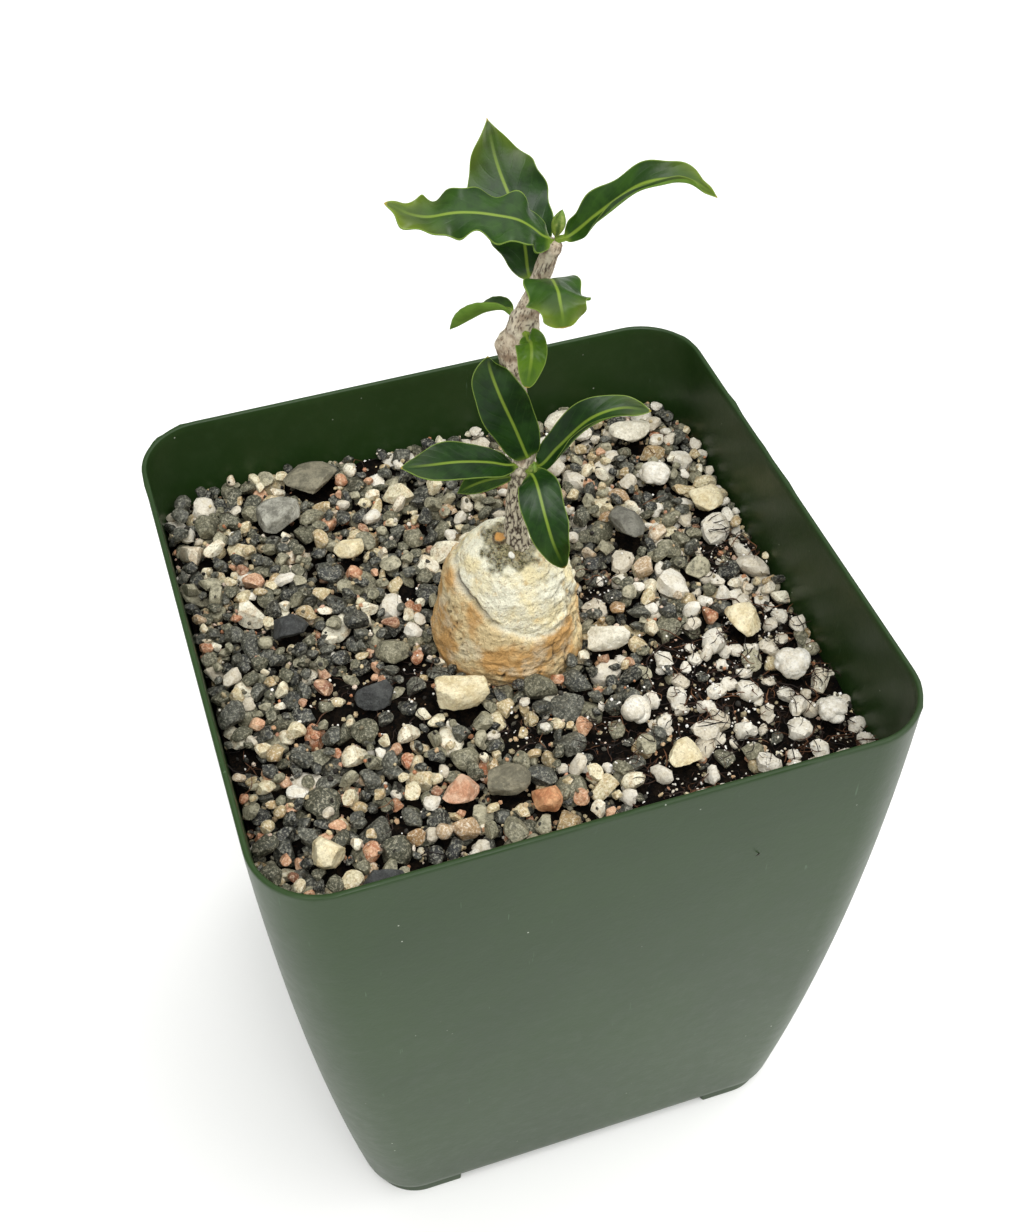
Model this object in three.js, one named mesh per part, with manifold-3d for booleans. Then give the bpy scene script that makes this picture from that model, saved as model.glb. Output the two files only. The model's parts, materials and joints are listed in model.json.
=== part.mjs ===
// A young fockea in a square nursery pot: pot, gritty potting mix, swollen caudex, stem, leaves,
// buds and the larger top-dressing stones. Millimetres, +Z up, origin under the middle of the pot
// on the plane that its four feet stand on.
import * as THREE from "three";
import { mergeVertices } from "three/addons/utils/BufferGeometryUtils.js";
import Module from "manifold-3d";

const wasm = await Module();
wasm.setup();

const GAP = 0.3; // clearance left between pieces that touch

// ---- driving dimensions ----
const POT = {
  height: 113.6,
  footHeight: 2.5,
  mouth: 100, // mean outside width across the mouth
  waist: 93, // the same, half way down
  base: 79.6, // the same, at the feet
  squeeze: 0.986, // the mouth is a little narrower in X than in Y
  mouthRadius: 10.9,
  baseRadius: 9.3,
  wall: 0.9,
  floor: 1.2,
};
const FOOT = { inset: 0.6, reach: 16 };
const DRAIN = { radius: 3.2, offset: 24 };
const SOIL = { level: 97.6, fall: 0.03, bank: 0.035 }; // drop per mm to the right, rise per mm to the back
const CAUDEX = { centre: [0.9, 1.5], tip: 52, top: 117.3 };

// ---- materials ----
const finish = (color, roughness) => new THREE.MeshStandardMaterial({ color, roughness, metalness: 0 });
const materials = {
  pot: finish(0x2f4a33, 0.38),
  soil: finish(0x1c1511, 0.95),
  caudex: finish(0xc9ab74, 0.85),
  stem: finish(0x8d8276, 0.9),
  leaf: finish(0x1f4a1e, 0.35),
  bud: finish(0x8aa32e, 0.5),
  paleStone: finish(0xd9cdb4, 0.85),
  greyStone: finish(0x75756a, 0.8),
  darkStone: finish(0x33383a, 0.75),
  warmStone: finish(0xb9764e, 0.75),
};

const group = new THREE.Group();

function addPiece(name, geometry, material) {
  const mesh = new THREE.Mesh(geometry, material);
  mesh.name = name;
  group.add(mesh);
  return mesh;
}

// ---- solids ----
function toSolid(geometry) {
  const bare = geometry.clone();
  bare.deleteAttribute("normal");
  bare.deleteAttribute("uv");
  const merged = mergeVertices(bare, 1e-4);
  return new wasm.Manifold(
    new wasm.Mesh({
      numProp: 3,
      vertProperties: merged.attributes.position.array,
      triVerts: new Uint32Array(merged.index.array),
    }),
  );
}

function toGeometry(solid) {
  const { numProp, numVert, vertProperties, triVerts } = solid.getMesh();
  const positions = new Float32Array(numVert * 3);
  for (let i = 0; i < numVert; i++) {
    positions.set(vertProperties.subarray(i * numProp, i * numProp + 3), i * 3);
  }
  const geometry = new THREE.BufferGeometry();
  geometry.setAttribute("position", new THREE.BufferAttribute(positions, 3));
  geometry.setIndex(new THREE.BufferAttribute(new Uint32Array(triVerts), 1));
  geometry.computeVertexNormals();
  return geometry;
}

// The largest piece of a solid, without the crumbs that a cut can leave.
function mainBody(solid) {
  return solid.decompose().reduce((a, b) => (a.volume() > b.volume() ? a : b));
}

// Moves every vertex of a geometry to the place that a function gives for it.
function reshape(geometry, place) {
  const position = geometry.attributes.position;
  const point = new THREE.Vector3();
  for (let i = 0; i < position.count; i++) {
    point.fromBufferAttribute(position, i);
    position.setXYZ(i, ...place(point.clone()).toArray());
  }
  return geometry;
}

// A closed body lofted through outlines. outline(level) gives the ring's points, and level runs from
// 0 at the bottom to 1 at the top.
function loft(sides, levels, outline) {
  const rings = Array.from({ length: levels + 1 }, (_, k) => outline(k / levels));
  const blank = new THREE.CylinderGeometry(1, 1, 1, sides, levels, false, Math.PI / 2);
  blank.rotateX(Math.PI / 2); // its length lies along Z
  return reshape(blank, (p) => {
    const ring = rings[Math.round((p.z + 0.5) * levels)];
    if (Math.hypot(p.x, p.y) < 0.5) {
      return ring.reduce((sum, q) => sum.add(q), new THREE.Vector3()).divideScalar(sides);
    }
    const turn = Math.atan2(p.y, p.x) / (2 * Math.PI);
    return ring[(Math.round(turn * sides) + sides) % sides].clone();
  });
}

// ---- pot ----
const CORNER_STEPS = 7;
const POT_SIDES = 4 * (CORNER_STEPS + 1);
const POT_LEVELS = 8;

// Outside width and corner radius of the pot at a height, with the walls curving in towards the feet.
function potSection(z) {
  const s = (POT.height - z) / POT.height;
  const near = 2 * (s - 0.5) * (s - 1);
  const middle = 4 * s * (1 - s);
  const far = 2 * s * (s - 0.5);
  const radius = THREE.MathUtils.lerp(POT.mouthRadius, POT.baseRadius, s);
  return { width: POT.mouth * near + POT.waist * middle + POT.base * far, radius };
}

function squareRing(z, inset) {
  const { width, radius } = potSection(z);
  const r = Math.max(radius - inset, 1);
  const straight = width / 2 - inset - r;
  const ring = [];
  for (let corner = 0; corner < 4; corner++) {
    const middle = Math.PI / 4 + (corner * Math.PI) / 2;
    for (let i = 0; i <= CORNER_STEPS; i++) {
      const angle = (corner + i / CORNER_STEPS) * (Math.PI / 2);
      const x = Math.sign(Math.cos(middle)) * straight + r * Math.cos(angle);
      const y = Math.sign(Math.sin(middle)) * straight + r * Math.sin(angle);
      ring.push(new THREE.Vector3(x * POT.squeeze, y / POT.squeeze, z));
    }
  }
  return ring;
}

function squareBody(bottom, top, inset) {
  const level = (t) => squareRing(THREE.MathUtils.lerp(bottom, top, t), inset);
  return toSolid(loft(POT_SIDES, POT_LEVELS, level));
}

function rod(radius, bottom, top, x, y) {
  const geometry = new THREE.CylinderGeometry(radius, radius, top - bottom, 32);
  geometry.rotateX(Math.PI / 2).translate(x, y, (top + bottom) / 2);
  return toSolid(geometry);
}

function cornerPlaces(reach) {
  return [[1, 1], [-1, 1], [-1, -1], [1, -1]].map(([sx, sy]) => [sx * reach, sy * reach]);
}

function buildPot() {
  const floorTop = POT.footHeight + POT.floor;
  const overshoot = 5;
  let pot = squareBody(POT.footHeight, POT.height, 0);
  const cavity = squareBody(floorTop, POT.height, POT.wall);
  const mouthCut = squareBody(POT.height - 0.5, POT.height + overshoot, POT.wall);
  const footBlank = squareBody(0, POT.footHeight + 0.5, FOOT.inset);
  for (const [x, y] of cornerPlaces(POT.base / 2)) {
    pot = pot.add(footBlank.intersect(rod(FOOT.reach, -1, POT.footHeight + 0.5, x, y)));
  }
  pot = pot.subtract(cavity).subtract(mouthCut);
  for (const [x, y] of cornerPlaces(DRAIN.offset)) {
    pot = pot.subtract(rod(DRAIN.radius, POT.footHeight - 1, floorTop + 1, x, y));
  }
  addPiece("nursery_pot", toGeometry(pot), materials.pot);
}

// ---- caudex: the swollen stem base with its taproot, one body ----
const CAUDEX_PROFILE = [
  [52, 0.8], [60, 2.4], [70, 5.2], [80, 8.2], [88, 10.4], [94, 11.3],
  [99, 11.5], [104, 11.0], [108, 10.0], [112, 8.6], [115, 6.7], [116.8, 4.2], [117.3, 2.2],
].map(([z, r]) => new THREE.Vector2(z, r));

function caudexBody(swell) {
  const profile = new THREE.SplineCurve(CAUDEX_PROFILE);
  const [cx, cy] = CAUDEX.centre;
  const sides = 26;
  return toSolid(
    loft(sides, 22, (t) => {
      const { x: height, y: radius } = profile.getPoint(t);
      const end = t === 1 ? swell : t === 0 ? -swell : 0;
      const lean = Math.max(0, (height - 101) / 16); // the crown leans right and is highest behind
      return Array.from({ length: sides }, (_, i) => {
        const angle = (i / sides) * 2 * Math.PI;
        const uneven = 1 + 0.03 * Math.cos(2 * angle + 0.8) + 0.02 * Math.sin(3 * angle + height * 0.05);
        const r = radius * uneven + swell;
        const x = cx + 0.9 * lean + r * Math.cos(angle);
        const z = height + end + 1.1 * lean * lean * Math.cos(angle - 2.4);
        return new THREE.Vector3(x, cy + r * Math.sin(angle), z);
      });
    }),
  );
}

// ---- stem ----
const STEM_PATH = [
  [2.3, 1.0, 116.2], [2.4, 1.0, 121], [2.5, 1.0, 126], [3.3, 0.7, 131.5], [4.3, 0.4, 136], [3.8, 0.6, 141],
  [3.0, 0.8, 146.5], [2.5, 1.0, 152.5], [3.9, 0.5, 157.2], [5.5, 0.0, 162.3], [6.9, -0.5, 167.5],
  [8.1, -0.8, 170.9],
].map((p) => new THREE.Vector3(...p));
const STEM_RADII = [2.5, 1.75, 1.5, 1.5, 1.25, 1.2, 1.4, 2.3, 2.25, 1.45, 1.15, 1.5];

function tube(curve, radiusAt, sides, levels) {
  const frames = curve.computeFrenetFrames(levels);
  return toSolid(
    loft(sides, levels, (t) => {
      const k = Math.round(t * levels);
      const centre = curve.getPoint(t);
      return Array.from({ length: sides }, (_, i) => {
        const angle = (i / sides) * 2 * Math.PI;
        const across = frames.normals[k].clone().multiplyScalar(Math.cos(angle));
        across.addScaledVector(frames.binormals[k], Math.sin(angle));
        return centre.clone().addScaledVector(across, radiusAt(t));
      });
    }),
  );
}

function stemBody(swell) {
  const radii = new THREE.SplineCurve(STEM_RADII.map((r, i) => new THREE.Vector2(i, r)));
  return tube(new THREE.CatmullRomCurve3(STEM_PATH), (t) => radii.getPoint(t).y + swell, 10, 33);
}

// ---- leaves ----
// rib: points along the midrib from the stem to the tip. up: the way the upper face looks.
// roll: degrees that the blade turns about its rib from foot to tip. fold: how far the two halves
// are raised into a trough, as a share of their width. wave: height of the wavy margin.
// widest: how far from foot to tip the blade is broadest.
const TO_VIEWER = [-0.26, -0.79, 0.55];
const LEAVES = {
  leaf_top_back: {
    rib: [[5.3, 1.9, 164.6], [5.4, 4.2, 168.6], [5.0, 8.2, 172.2], [4.3, 11.8, 176], [4.2, 15.2, 180.5]],
    width: 10.2, up: TO_VIEWER, roll: 0, fold: 0.12, wave: 0.35, widest: 0.56,
  },
  leaf_top_left: {
    rib: [[6.6, -1.0, 171.6], [3.0, -0.9, 175.0], [-3.5, 0.3, 176.8], [-9.0, 1.6, 176.6], [-13.2, 3.0, 178.7]],
    width: 8.4, up: [0, -0.35, 1], roll: 0, fold: 0.1, wave: 0.9, widest: 0.42,
  },
  leaf_top_right: {
    rib: [[9.9, -1.3, 171.4], [12.5, -2.4, 175.4], [18.2, -4.2, 180.6], [23.8, -6.0, 180.4], [27.6, -7.3, 176.8]],
    width: 5, up: [-0.35, -0.75, 0.55], roll: -42, fold: 0.25, wave: 0.3, widest: 0.5,
  },
  leaf_front: {
    rib: [[5.9, -1.9, 165.6], [5.6, -6.3, 168.9], [4.7, -11.6, 170.9], [4.2, -14.5, 170.2], [3.9, -15.8, 168.4]],
    width: 7.2, up: [0.05, -0.3, 1], roll: 0, fold: -0.1, wave: 0.7, widest: 0.55,
  },
  leaf_mid_left: {
    rib: [[2.6, 3.3, 158.6], [0.5, 5.7, 157.4], [-1.6, 8.0, 154.8], [-3.7, 10.4, 151.9]],
    width: 4.2, up: [0.1, 0.5, 0.85], roll: 0, fold: 0.3, wave: 0.1, widest: 0.5,
  },
  leaf_small_front: {
    rib: [[3.4, -3.0, 157.9], [3.3, -4.8, 158.3], [2.7, -6.6, 157.0], [1.7, -7.6, 153.4]],
    width: 4.6, up: [-0.26, -0.85, 0.5], roll: 0, fold: 0.05, wave: 0.1, widest: 0.5,
  },
  leaf_low_back: {
    rib: [[3.7, -0.7, 135.6], [1.9, -0.6, 141.5], [0.1, -0.4, 147.0], [-0.9, 0.4, 151.1], [-1.1, 0.8, 153.3]],
    width: 8.4, up: TO_VIEWER, roll: 0, fold: 0.1, wave: 0.3, widest: 0.58,
  },
  leaf_low_left: {
    rib: [[1.4, -0.4, 133.8], [-2, -0.9, 135.8], [-6.5, -1.4, 137.6], [-11, -1.4, 138.3], [-14.9, -0.6, 138.3]],
    width: 6.6, up: [0, -0.3, 1], roll: 0, fold: 0.12, wave: 0.3, widest: 0.52,
  },
  leaf_low_under: {
    rib: [[1.2, 0.8, 130.6], [-1.5, 1.6, 130.2], [-3.8, 2.3, 129.2], [-6.0, 2.9, 127.9]],
    width: 3.8, up: [0, -0.35, 1], roll: 0, fold: 0.15, wave: 0.1, widest: 0.5,
  },
  leaf_low_right: {
    rib: [[5.6, -1.2, 133.4], [8.2, -2.0, 136.8], [12.4, -3.3, 141.7], [16.8, -4.2, 143.2], [21.0, -5.1, 142.2]],
    width: 5, up: [-0.3, -0.8, 0.5], roll: -38, fold: 0.2, wave: 0.5, widest: 0.5,
  },
  leaf_low_front: {
    rib: [[4.5, -2.9, 132.2], [4.2, -5.5, 131.9], [4.0, -8.5, 129.5], [4.6, -10.2, 125.8], [6.0, -10.9, 121.3]],
    width: 6.2, up: [-0.2, -0.8, 0.5], roll: 0, fold: 0.1, wave: 0.3, widest: 0.5,
  },
};
const LEAF = { thickness: 0.7, petiole: 0.55, lengthSteps: 14, widthSteps: 6 };

// Half width of a blade, as a share of its full width, from the foot (0) to the tip (1).
function bladeShare(t, widest) {
  const past = THREE.MathUtils.clamp((t - 0.06) / 0.94, 0, 1);
  return 0.5 * Math.sin(Math.PI * past ** (Math.log(0.5) / Math.log(widest))) ** 0.75;
}

function buildLeaf({ rib, width, widest, up, roll, fold, wave }) {
  const curve = new THREE.CatmullRomCurve3(rib.map((p) => new THREE.Vector3(...p)));
  const upward = new THREE.Vector3(...up).normalize();
  const blank = new THREE.BoxGeometry(1, 1, 1, LEAF.lengthSteps, LEAF.widthSteps, 1);
  return toSolid(
    reshape(blank, (p) => {
      const t = p.x + 0.5;
      const v = p.y * 2; // -1 on one margin, 1 on the other
      const along = curve.getTangent(t);
      const side = new THREE.Vector3().crossVectors(upward, along).normalize();
      side.applyAxisAngle(along, THREE.MathUtils.degToRad(roll * t));
      const normal = new THREE.Vector3().crossVectors(along, side).normalize();
      const half = Math.max(width * bladeShare(t, widest), LEAF.petiole);
      const ripple = wave * v * v * Math.sin(v * 1.2 + t * 15) * Math.sin(Math.PI * t);
      const lift = fold * half * Math.abs(v) + ripple;
      const thick = LEAF.thickness * (1 - 0.45 * Math.abs(v)) * (t < 0.08 ? 1.4 : 1);
      return curve
        .getPoint(t)
        .addScaledVector(side, v * half)
        .addScaledVector(normal, lift + p.z * thick);
    }),
  );
}

// ---- buds ----
const BUDS = {
  terminal_bud: { foot: [8.1, -1.1, 171.9], tip: [8.8, -1.7, 175.4], radius: 0.75 },
  axillary_bud: { foot: [4.3, -1.5, 132.6], tip: [4.4, -2.3, 134.3], radius: 0.45 },
};

function buildBud({ foot, tip, radius }) {
  const start = new THREE.Vector3(...foot);
  const end = new THREE.Vector3(...tip);
  const profile = [[0, 0], [0.7, 0.02], [1, 0.3], [0.75, 0.65], [0.3, 0.93], [0, 1]];
  const length = start.distanceTo(end);
  const lathe = new THREE.LatheGeometry(profile.map(([r, y]) => new THREE.Vector2(r * radius, y * length)), 12);
  const axis = end.sub(start).normalize();
  lathe.applyQuaternion(new THREE.Quaternion().setFromUnitVectors(new THREE.Vector3(0, 1, 0), axis));
  return toSolid(lathe.translate(start.x, start.y, start.z));
}

// ---- potting mix ----
const soilTop = (x, y) => SOIL.level - SOIL.fall * x + SOIL.bank * y;

function buildSoil(caudexPocket) {
  const bottom = POT.footHeight + POT.floor + GAP;
  const inset = POT.wall + GAP;
  const body = toSolid(
    loft(POT_SIDES, POT_LEVELS, (t) => {
      const ring = squareRing(THREE.MathUtils.lerp(bottom, SOIL.level, t), inset);
      return t < 1 ? ring : ring.map((p) => p.setZ(soilTop(p.x, p.y)));
    }),
  );
  addPiece("potting_mix", toGeometry(mainBody(body.subtract(caudexPocket))), materials.soil);
}

// ---- stones of the top dressing ----
// x, y: the middle of the stone. size: its length, breadth and height. turn: degrees about Z.
const STONES = {
  stone_cream_at_foot: { x: -10.8, y: -11.2, size: [8.4, 6.2, 4.6], turn: 10, seed: 1, look: "paleStone" },
  stone_flat_oval: { x: -21.4, y: 43.6, size: [9.6, 6.6, 2.6], turn: 20, seed: 2, look: "greyStone" },
  stone_speckled_back: { x: -28.6, y: 36.2, size: [8.2, 6.4, 3.4], turn: -15, seed: 3, look: "greyStone" },
  stone_cream_right: { x: 14.6, y: -7.0, size: [7.4, 5.0, 3.8], turn: -12, seed: 4, look: "paleStone" },
  stone_white_back: { x: 36.0, y: 26.6, size: [5.2, 6.2, 3.6], turn: 30, seed: 5, look: "paleStone" },
  stone_white_far: { x: 36.2, y: 38.4, size: [7.2, 4.4, 3.4], turn: 5, seed: 6, look: "paleStone" },
  stone_cream_far: { x: 25.4, y: 44.4, size: [6.8, 4.4, 3.6], turn: -5, seed: 7, look: "paleStone" },
  stone_beige_right: { x: 42.4, y: 18.0, size: [5.6, 6.8, 3.8], turn: 25, seed: 8, look: "paleStone" },
  stone_cream_mid_right: { x: 37.2, y: -10.0, size: [5.2, 6.4, 3.6], turn: 15, seed: 9, look: "paleStone" },
  stone_perlite_right: { x: 40.8, y: -20.6, size: [6.4, 5.4, 3.8], turn: -30, seed: 10, look: "paleStone" },
  stone_perlite_corner: { x: 42.6, y: -31.0, size: [4.6, 5.2, 3.6], turn: 10, seed: 11, look: "paleStone" },
  stone_perlite_front: { x: 13.6, y: -22.0, size: [4.6, 5.2, 3.6], turn: 30, seed: 12, look: "paleStone" },
  stone_speckled_front: { x: 17.6, y: -32.2, size: [5.4, 4.6, 3.2], turn: 20, seed: 13, look: "paleStone" },
  stone_olive_front: { x: -9.0, y: -28.4, size: [7.0, 5.0, 3.0], turn: -18, seed: 14, look: "greyStone" },
  stone_pink_front: { x: -16.2, y: -28.2, size: [6.0, 4.0, 3.0], turn: -20, seed: 15, look: "warmStone" },
  stone_orange_front: { x: -4.4, y: -33.2, size: [4.2, 4.8, 3.0], turn: -25, seed: 16, look: "warmStone" },
  stone_cream_corner: { x: -37.4, y: -33.4, size: [5.4, 6.0, 4.0], turn: 5, seed: 17, look: "paleStone" },
  stone_dark_left: { x: -23.6, y: -7.0, size: [6.2, 4.6, 3.0], turn: -10, seed: 18, look: "darkStone" },
  stone_dark_corner: { x: -31.4, y: -40.4, size: [7.0, 4.4, 3.2], turn: -10, seed: 19, look: "darkStone" },
  stone_grey_long: { x: 27.4, y: 16.2, size: [5.6, 8.2, 3.4], turn: 20, seed: 20, look: "greyStone" },
  stone_dark_mid: { x: -32.6, y: 10.6, size: [6.4, 5.0, 3.2], turn: -25, seed: 21, look: "darkStone" },
  stone_tan_left: { x: -19.4, y: 24.6, size: [5.4, 4.4, 3.2], turn: 0, seed: 22, look: "paleStone" },
};

// A pebble: a ball pressed to size, with a few flattened faces and a broad unevenness.
function buildStone({ x, y, size, turn, seed }) {
  const blank = new THREE.IcosahedronGeometry(1, 1);
  reshape(blank, (p) => {
    const broad = 0.09 * Math.sin(3.1 * p.x + seed * 1.7) * Math.cos(2.7 * p.y + seed);
    return p.multiplyScalar(1 + broad + 0.05 * Math.sin(5 * p.z + seed));
  });
  blank.scale(size[0] / 2, size[1] / 2, size[2] / 2);
  blank.rotateZ(THREE.MathUtils.degToRad(turn));
  blank.computeBoundingBox();
  const rest = soilTop(x - size[0] / 2, y + size[1] / 2) + GAP - blank.boundingBox.min.z;
  return toSolid(blank.translate(x, y, rest));
}

// ---- assembly ----
buildPot();
buildSoil(caudexBody(GAP));
addPiece("caudex", toGeometry(caudexBody(0)), materials.caudex);
addPiece("stem", toGeometry(mainBody(stemBody(0).subtract(caudexBody(GAP)))), materials.stem);
for (const [name, leaf] of Object.entries(LEAVES)) {
  addPiece(name, toGeometry(mainBody(buildLeaf(leaf).subtract(stemBody(GAP)))), materials.leaf);
}
for (const [name, bud] of Object.entries(BUDS)) {
  addPiece(name, toGeometry(mainBody(buildBud(bud).subtract(stemBody(GAP)))), materials.bud);
}
for (const [name, stone] of Object.entries(STONES)) {
  addPiece(name, toGeometry(buildStone(stone)), materials[stone.look]);
}

export default group;
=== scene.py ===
# A young fockea in a square nursery pot, its soil dressed with grit and perlite.
# Shapes are worked out in millimetres, with +Z up, and made metres as each piece is finished.
import json
import math

import bmesh
import bpy
import numpy as np
from mathutils import Euler, Matrix, Vector, noise

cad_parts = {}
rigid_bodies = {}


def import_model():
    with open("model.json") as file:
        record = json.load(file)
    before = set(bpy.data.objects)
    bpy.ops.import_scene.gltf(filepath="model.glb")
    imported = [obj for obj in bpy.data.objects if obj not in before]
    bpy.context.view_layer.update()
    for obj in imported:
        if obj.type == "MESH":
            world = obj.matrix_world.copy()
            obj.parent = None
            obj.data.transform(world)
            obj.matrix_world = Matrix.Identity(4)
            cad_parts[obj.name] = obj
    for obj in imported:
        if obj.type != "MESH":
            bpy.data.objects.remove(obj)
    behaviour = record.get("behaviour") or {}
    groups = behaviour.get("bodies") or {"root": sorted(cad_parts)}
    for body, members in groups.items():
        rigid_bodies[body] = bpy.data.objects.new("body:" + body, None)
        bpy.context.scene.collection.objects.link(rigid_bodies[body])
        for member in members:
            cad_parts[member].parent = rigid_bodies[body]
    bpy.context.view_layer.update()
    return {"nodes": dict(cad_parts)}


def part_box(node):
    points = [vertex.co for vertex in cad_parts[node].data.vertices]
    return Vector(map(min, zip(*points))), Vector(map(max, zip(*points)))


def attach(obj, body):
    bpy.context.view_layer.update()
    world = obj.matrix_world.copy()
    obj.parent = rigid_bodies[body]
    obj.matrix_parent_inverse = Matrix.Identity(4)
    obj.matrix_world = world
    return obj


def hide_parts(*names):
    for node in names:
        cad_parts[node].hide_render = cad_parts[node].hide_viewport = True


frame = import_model()
scene = bpy.context.scene
print("frame loaded:", len(frame["nodes"]), "CAD pieces")


# camera

camera = {
    "place": (-52.70, -174.72, 292.96),
    "aim": (1.66, 1.87, 100.0),
    "roll": -1.59,  # degrees
    "lens": 48.63,
    "sensor": 36.0,
}


def placeCamera():
    data = bpy.data.cameras.new("camera")
    data.lens = camera["lens"]
    data.sensor_width = camera["sensor"]
    data.clip_start, data.clip_end = 0.01, 20
    holder = bpy.data.objects.new("camera", data)
    scene.collection.objects.link(holder)
    place = Vector(camera["place"]) / 1000
    look = (Vector(camera["aim"]) / 1000 - place).to_track_quat("-Z", "Y").to_matrix().to_4x4()
    roll = Matrix.Rotation(math.radians(camera["roll"]), 4, "Z")
    holder.matrix_world = Matrix.Translation(place) @ look @ roll
    scene.camera = holder


placeCamera()


# studio

studio = {
    "dome": 0.4,  # brightness of the white surroundings
    "floorShade": (0.9, 0.9, 0.885),
    "floorSize": 6.0,  # metres
    "lamps": {  # direction it comes from, strength, spread in degrees
        "skylight": ((0.42, 0.0, 1.0), 2.1, 75),
        "window": ((-0.22, -0.55, 1.0), 2.0, 35),
    },
}


def lightStudio():
    world = bpy.data.worlds.new("studio")
    world.use_nodes = True
    sky = world.node_tree.nodes["Background"]
    sky.inputs["Color"].default_value = (1, 1, 1, 1)
    sky.inputs["Strength"].default_value = studio["dome"]
    scene.world = world
    for name, (origin, power, spread) in studio["lamps"].items():
        lamp = bpy.data.lights.new(name, "SUN")
        lamp.energy, lamp.angle = power, math.radians(spread)
        holder = bpy.data.objects.new(name, lamp)
        holder.rotation_euler = (-Vector(origin)).to_track_quat("-Z", "Y").to_euler()
        scene.collection.objects.link(holder)
    scene.view_settings.view_transform = "Standard"


lightStudio()


# wiring of nodes, for finishes and for geometry


class Wire:
    # a socket that can be added, multiplied and so on
    def __init__(self, graph, socket):
        self.graph, self.socket = graph, socket

    def calc(self, operation, *rest):
        return self.graph.sum(operation, self, *rest)

    def __add__(self, other):
        return self.calc("ADD", other)

    def __sub__(self, other):
        return self.calc("SUBTRACT", other)

    def __mul__(self, other):
        return self.calc("MULTIPLY", other)

    __radd__ = __add__
    __rmul__ = __mul__

    def between(self, low, high):  # 0 at low and 1 at high, smooth between
        limits = {"Value": self, "From Min": low, "From Max": high}
        return self.graph.add("ShaderNodeMapRange", {"interpolation_type": "SMOOTHSTEP"}, limits)


class Graph:
    def __init__(self, tree):
        self.tree = tree
        tree.nodes.clear()

    def add(self, kind, settings=None, values=None, output=0):
        node = self.tree.nodes.new(kind)
        for key, value in (settings or {}).items():
            if key == "stops":
                self.setStops(node.color_ramp, value)
            else:
                setattr(node, key, value)
        for key, value in (values or {}).items():
            if isinstance(value, Wire):
                self.tree.links.new(value.socket, node.inputs[key])
            else:
                node.inputs[key].default_value = value
        return Wire(self, node.outputs[output]) if len(node.outputs) else node

    def setStops(self, ramp, stops):
        while len(ramp.elements) < len(stops):
            ramp.elements.new(1.0)
        for element, (place, shade) in zip(ramp.elements, stops):
            element.position, element.color = place, shade

    def sum(self, operation, *terms):
        return self.add("ShaderNodeMath", {"operation": operation}, dict(enumerate(terms)))

    def noise(self, size, detail=3.0, harshness=0.55, where=None):  # features of size millimetres
        values = {"Scale": 1000 / size, "Detail": detail, "Roughness": harshness}
        values["Vector"] = where or self.place()
        return self.add("ShaderNodeTexNoise", {}, values)

    def cells(self, size):
        values = {"Scale": 1000 / size, "Vector": self.place()}
        return self.add("ShaderNodeTexVoronoi", {}, values, "Distance")

    def place(self):
        return self.add("ShaderNodeTexCoord", output="Object")

    def mark(self, name):  # a number kept on the mesh
        return self.add("ShaderNodeAttribute", {"attribute_name": name}, output="Fac")

    def tint(self, factor, under, over):  # sockets 6, 7 and 2 are the mixer's colours
        return self.add("ShaderNodeMix", {"data_type": "RGBA"}, {0: factor, 6: under, 7: over}, 2)

    def ramp(self, factor, *stops):
        return self.add("ShaderNodeValToRGB", {"stops": stops}, {"Fac": factor})

    def bump(self, height, depth, strength=1.0, normal=None):  # depth in millimetres
        values = {"Height": height, "Distance": depth / 1000, "Strength": strength}
        if normal:
            values["Normal"] = normal
        return self.add("ShaderNodeBump", {}, values)


def shade(red, green, blue):  # a colour as paint charts give it, 0 to 255
    return (*(((c / 255 + 0.055) / 1.055) ** 2.4 if c > 10 else c / 3294.6 for c in (red, green, blue)), 1.0)


def finishFrom(name, recipe, **fixed):
    # recipe gets the graph and gives the sockets that vary over the surface
    material = bpy.data.materials.new(name)
    material.use_nodes = True
    graph = Graph(material.node_tree)
    varying = recipe(graph)
    values = {key.replace("_", " "): value for key, value in fixed.items()}
    surface = graph.add("ShaderNodeBsdfPrincipled", {}, {**values, **varying})
    graph.add("ShaderNodeOutputMaterial", {}, {"Surface": surface})
    return material


# meshes


def makePiece(name, points, faces, marks=None, sharpAbove=None):
    # points in millimetres. marks: numbers for each point, for the finish to read
    mesh = bpy.data.meshes.new(name)
    mesh.from_pydata((np.asarray(points) / 1000).tolist(), [], faces)
    for key, values in (marks or {}).items():
        mesh.attributes.new(key, "FLOAT", "POINT").data.foreach_set("value", np.asarray(values, np.float32))
    mesh.shade_smooth()
    if sharpAbove:
        mesh.set_sharp_from_angle(angle=math.radians(sharpAbove))
    piece = bpy.data.objects.new(name, mesh)
    scene.collection.objects.link(piece)
    return piece


def skinFaces(count, sides):
    # rings of points, each anticlockwise as seen from the last one, with a point closing either end
    index = np.arange(count * sides).reshape(count, sides)
    after = np.roll(index, -1, axis=1)
    walls = np.stack([index[:-1], after[:-1], after[1:], index[1:]], -1).reshape(-1, 4)
    first, last = count * sides, count * sides + 1
    feet = np.stack([np.full(sides, first), after[0], index[0]], -1)
    crown = np.stack([np.full(sides, last), index[-1], after[-1]], -1)
    return walls.tolist() + feet.tolist() + crown.tolist()


def skin(name, rings, marks=None):
    # closes a stack of rings into one solid
    rings = np.asarray(rings, float)
    points = np.vstack([rings.reshape(-1, 3), rings[0].mean(0), rings[-1].mean(0)])
    kept = {}
    for key, values in (marks or {}).items():
        values = np.asarray(values, float)
        kept[key] = np.concatenate([values.ravel(), [values[0].mean(), values[-1].mean()]])
    return makePiece(name, points, skinFaces(*rings.shape[:2]), kept)


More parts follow.
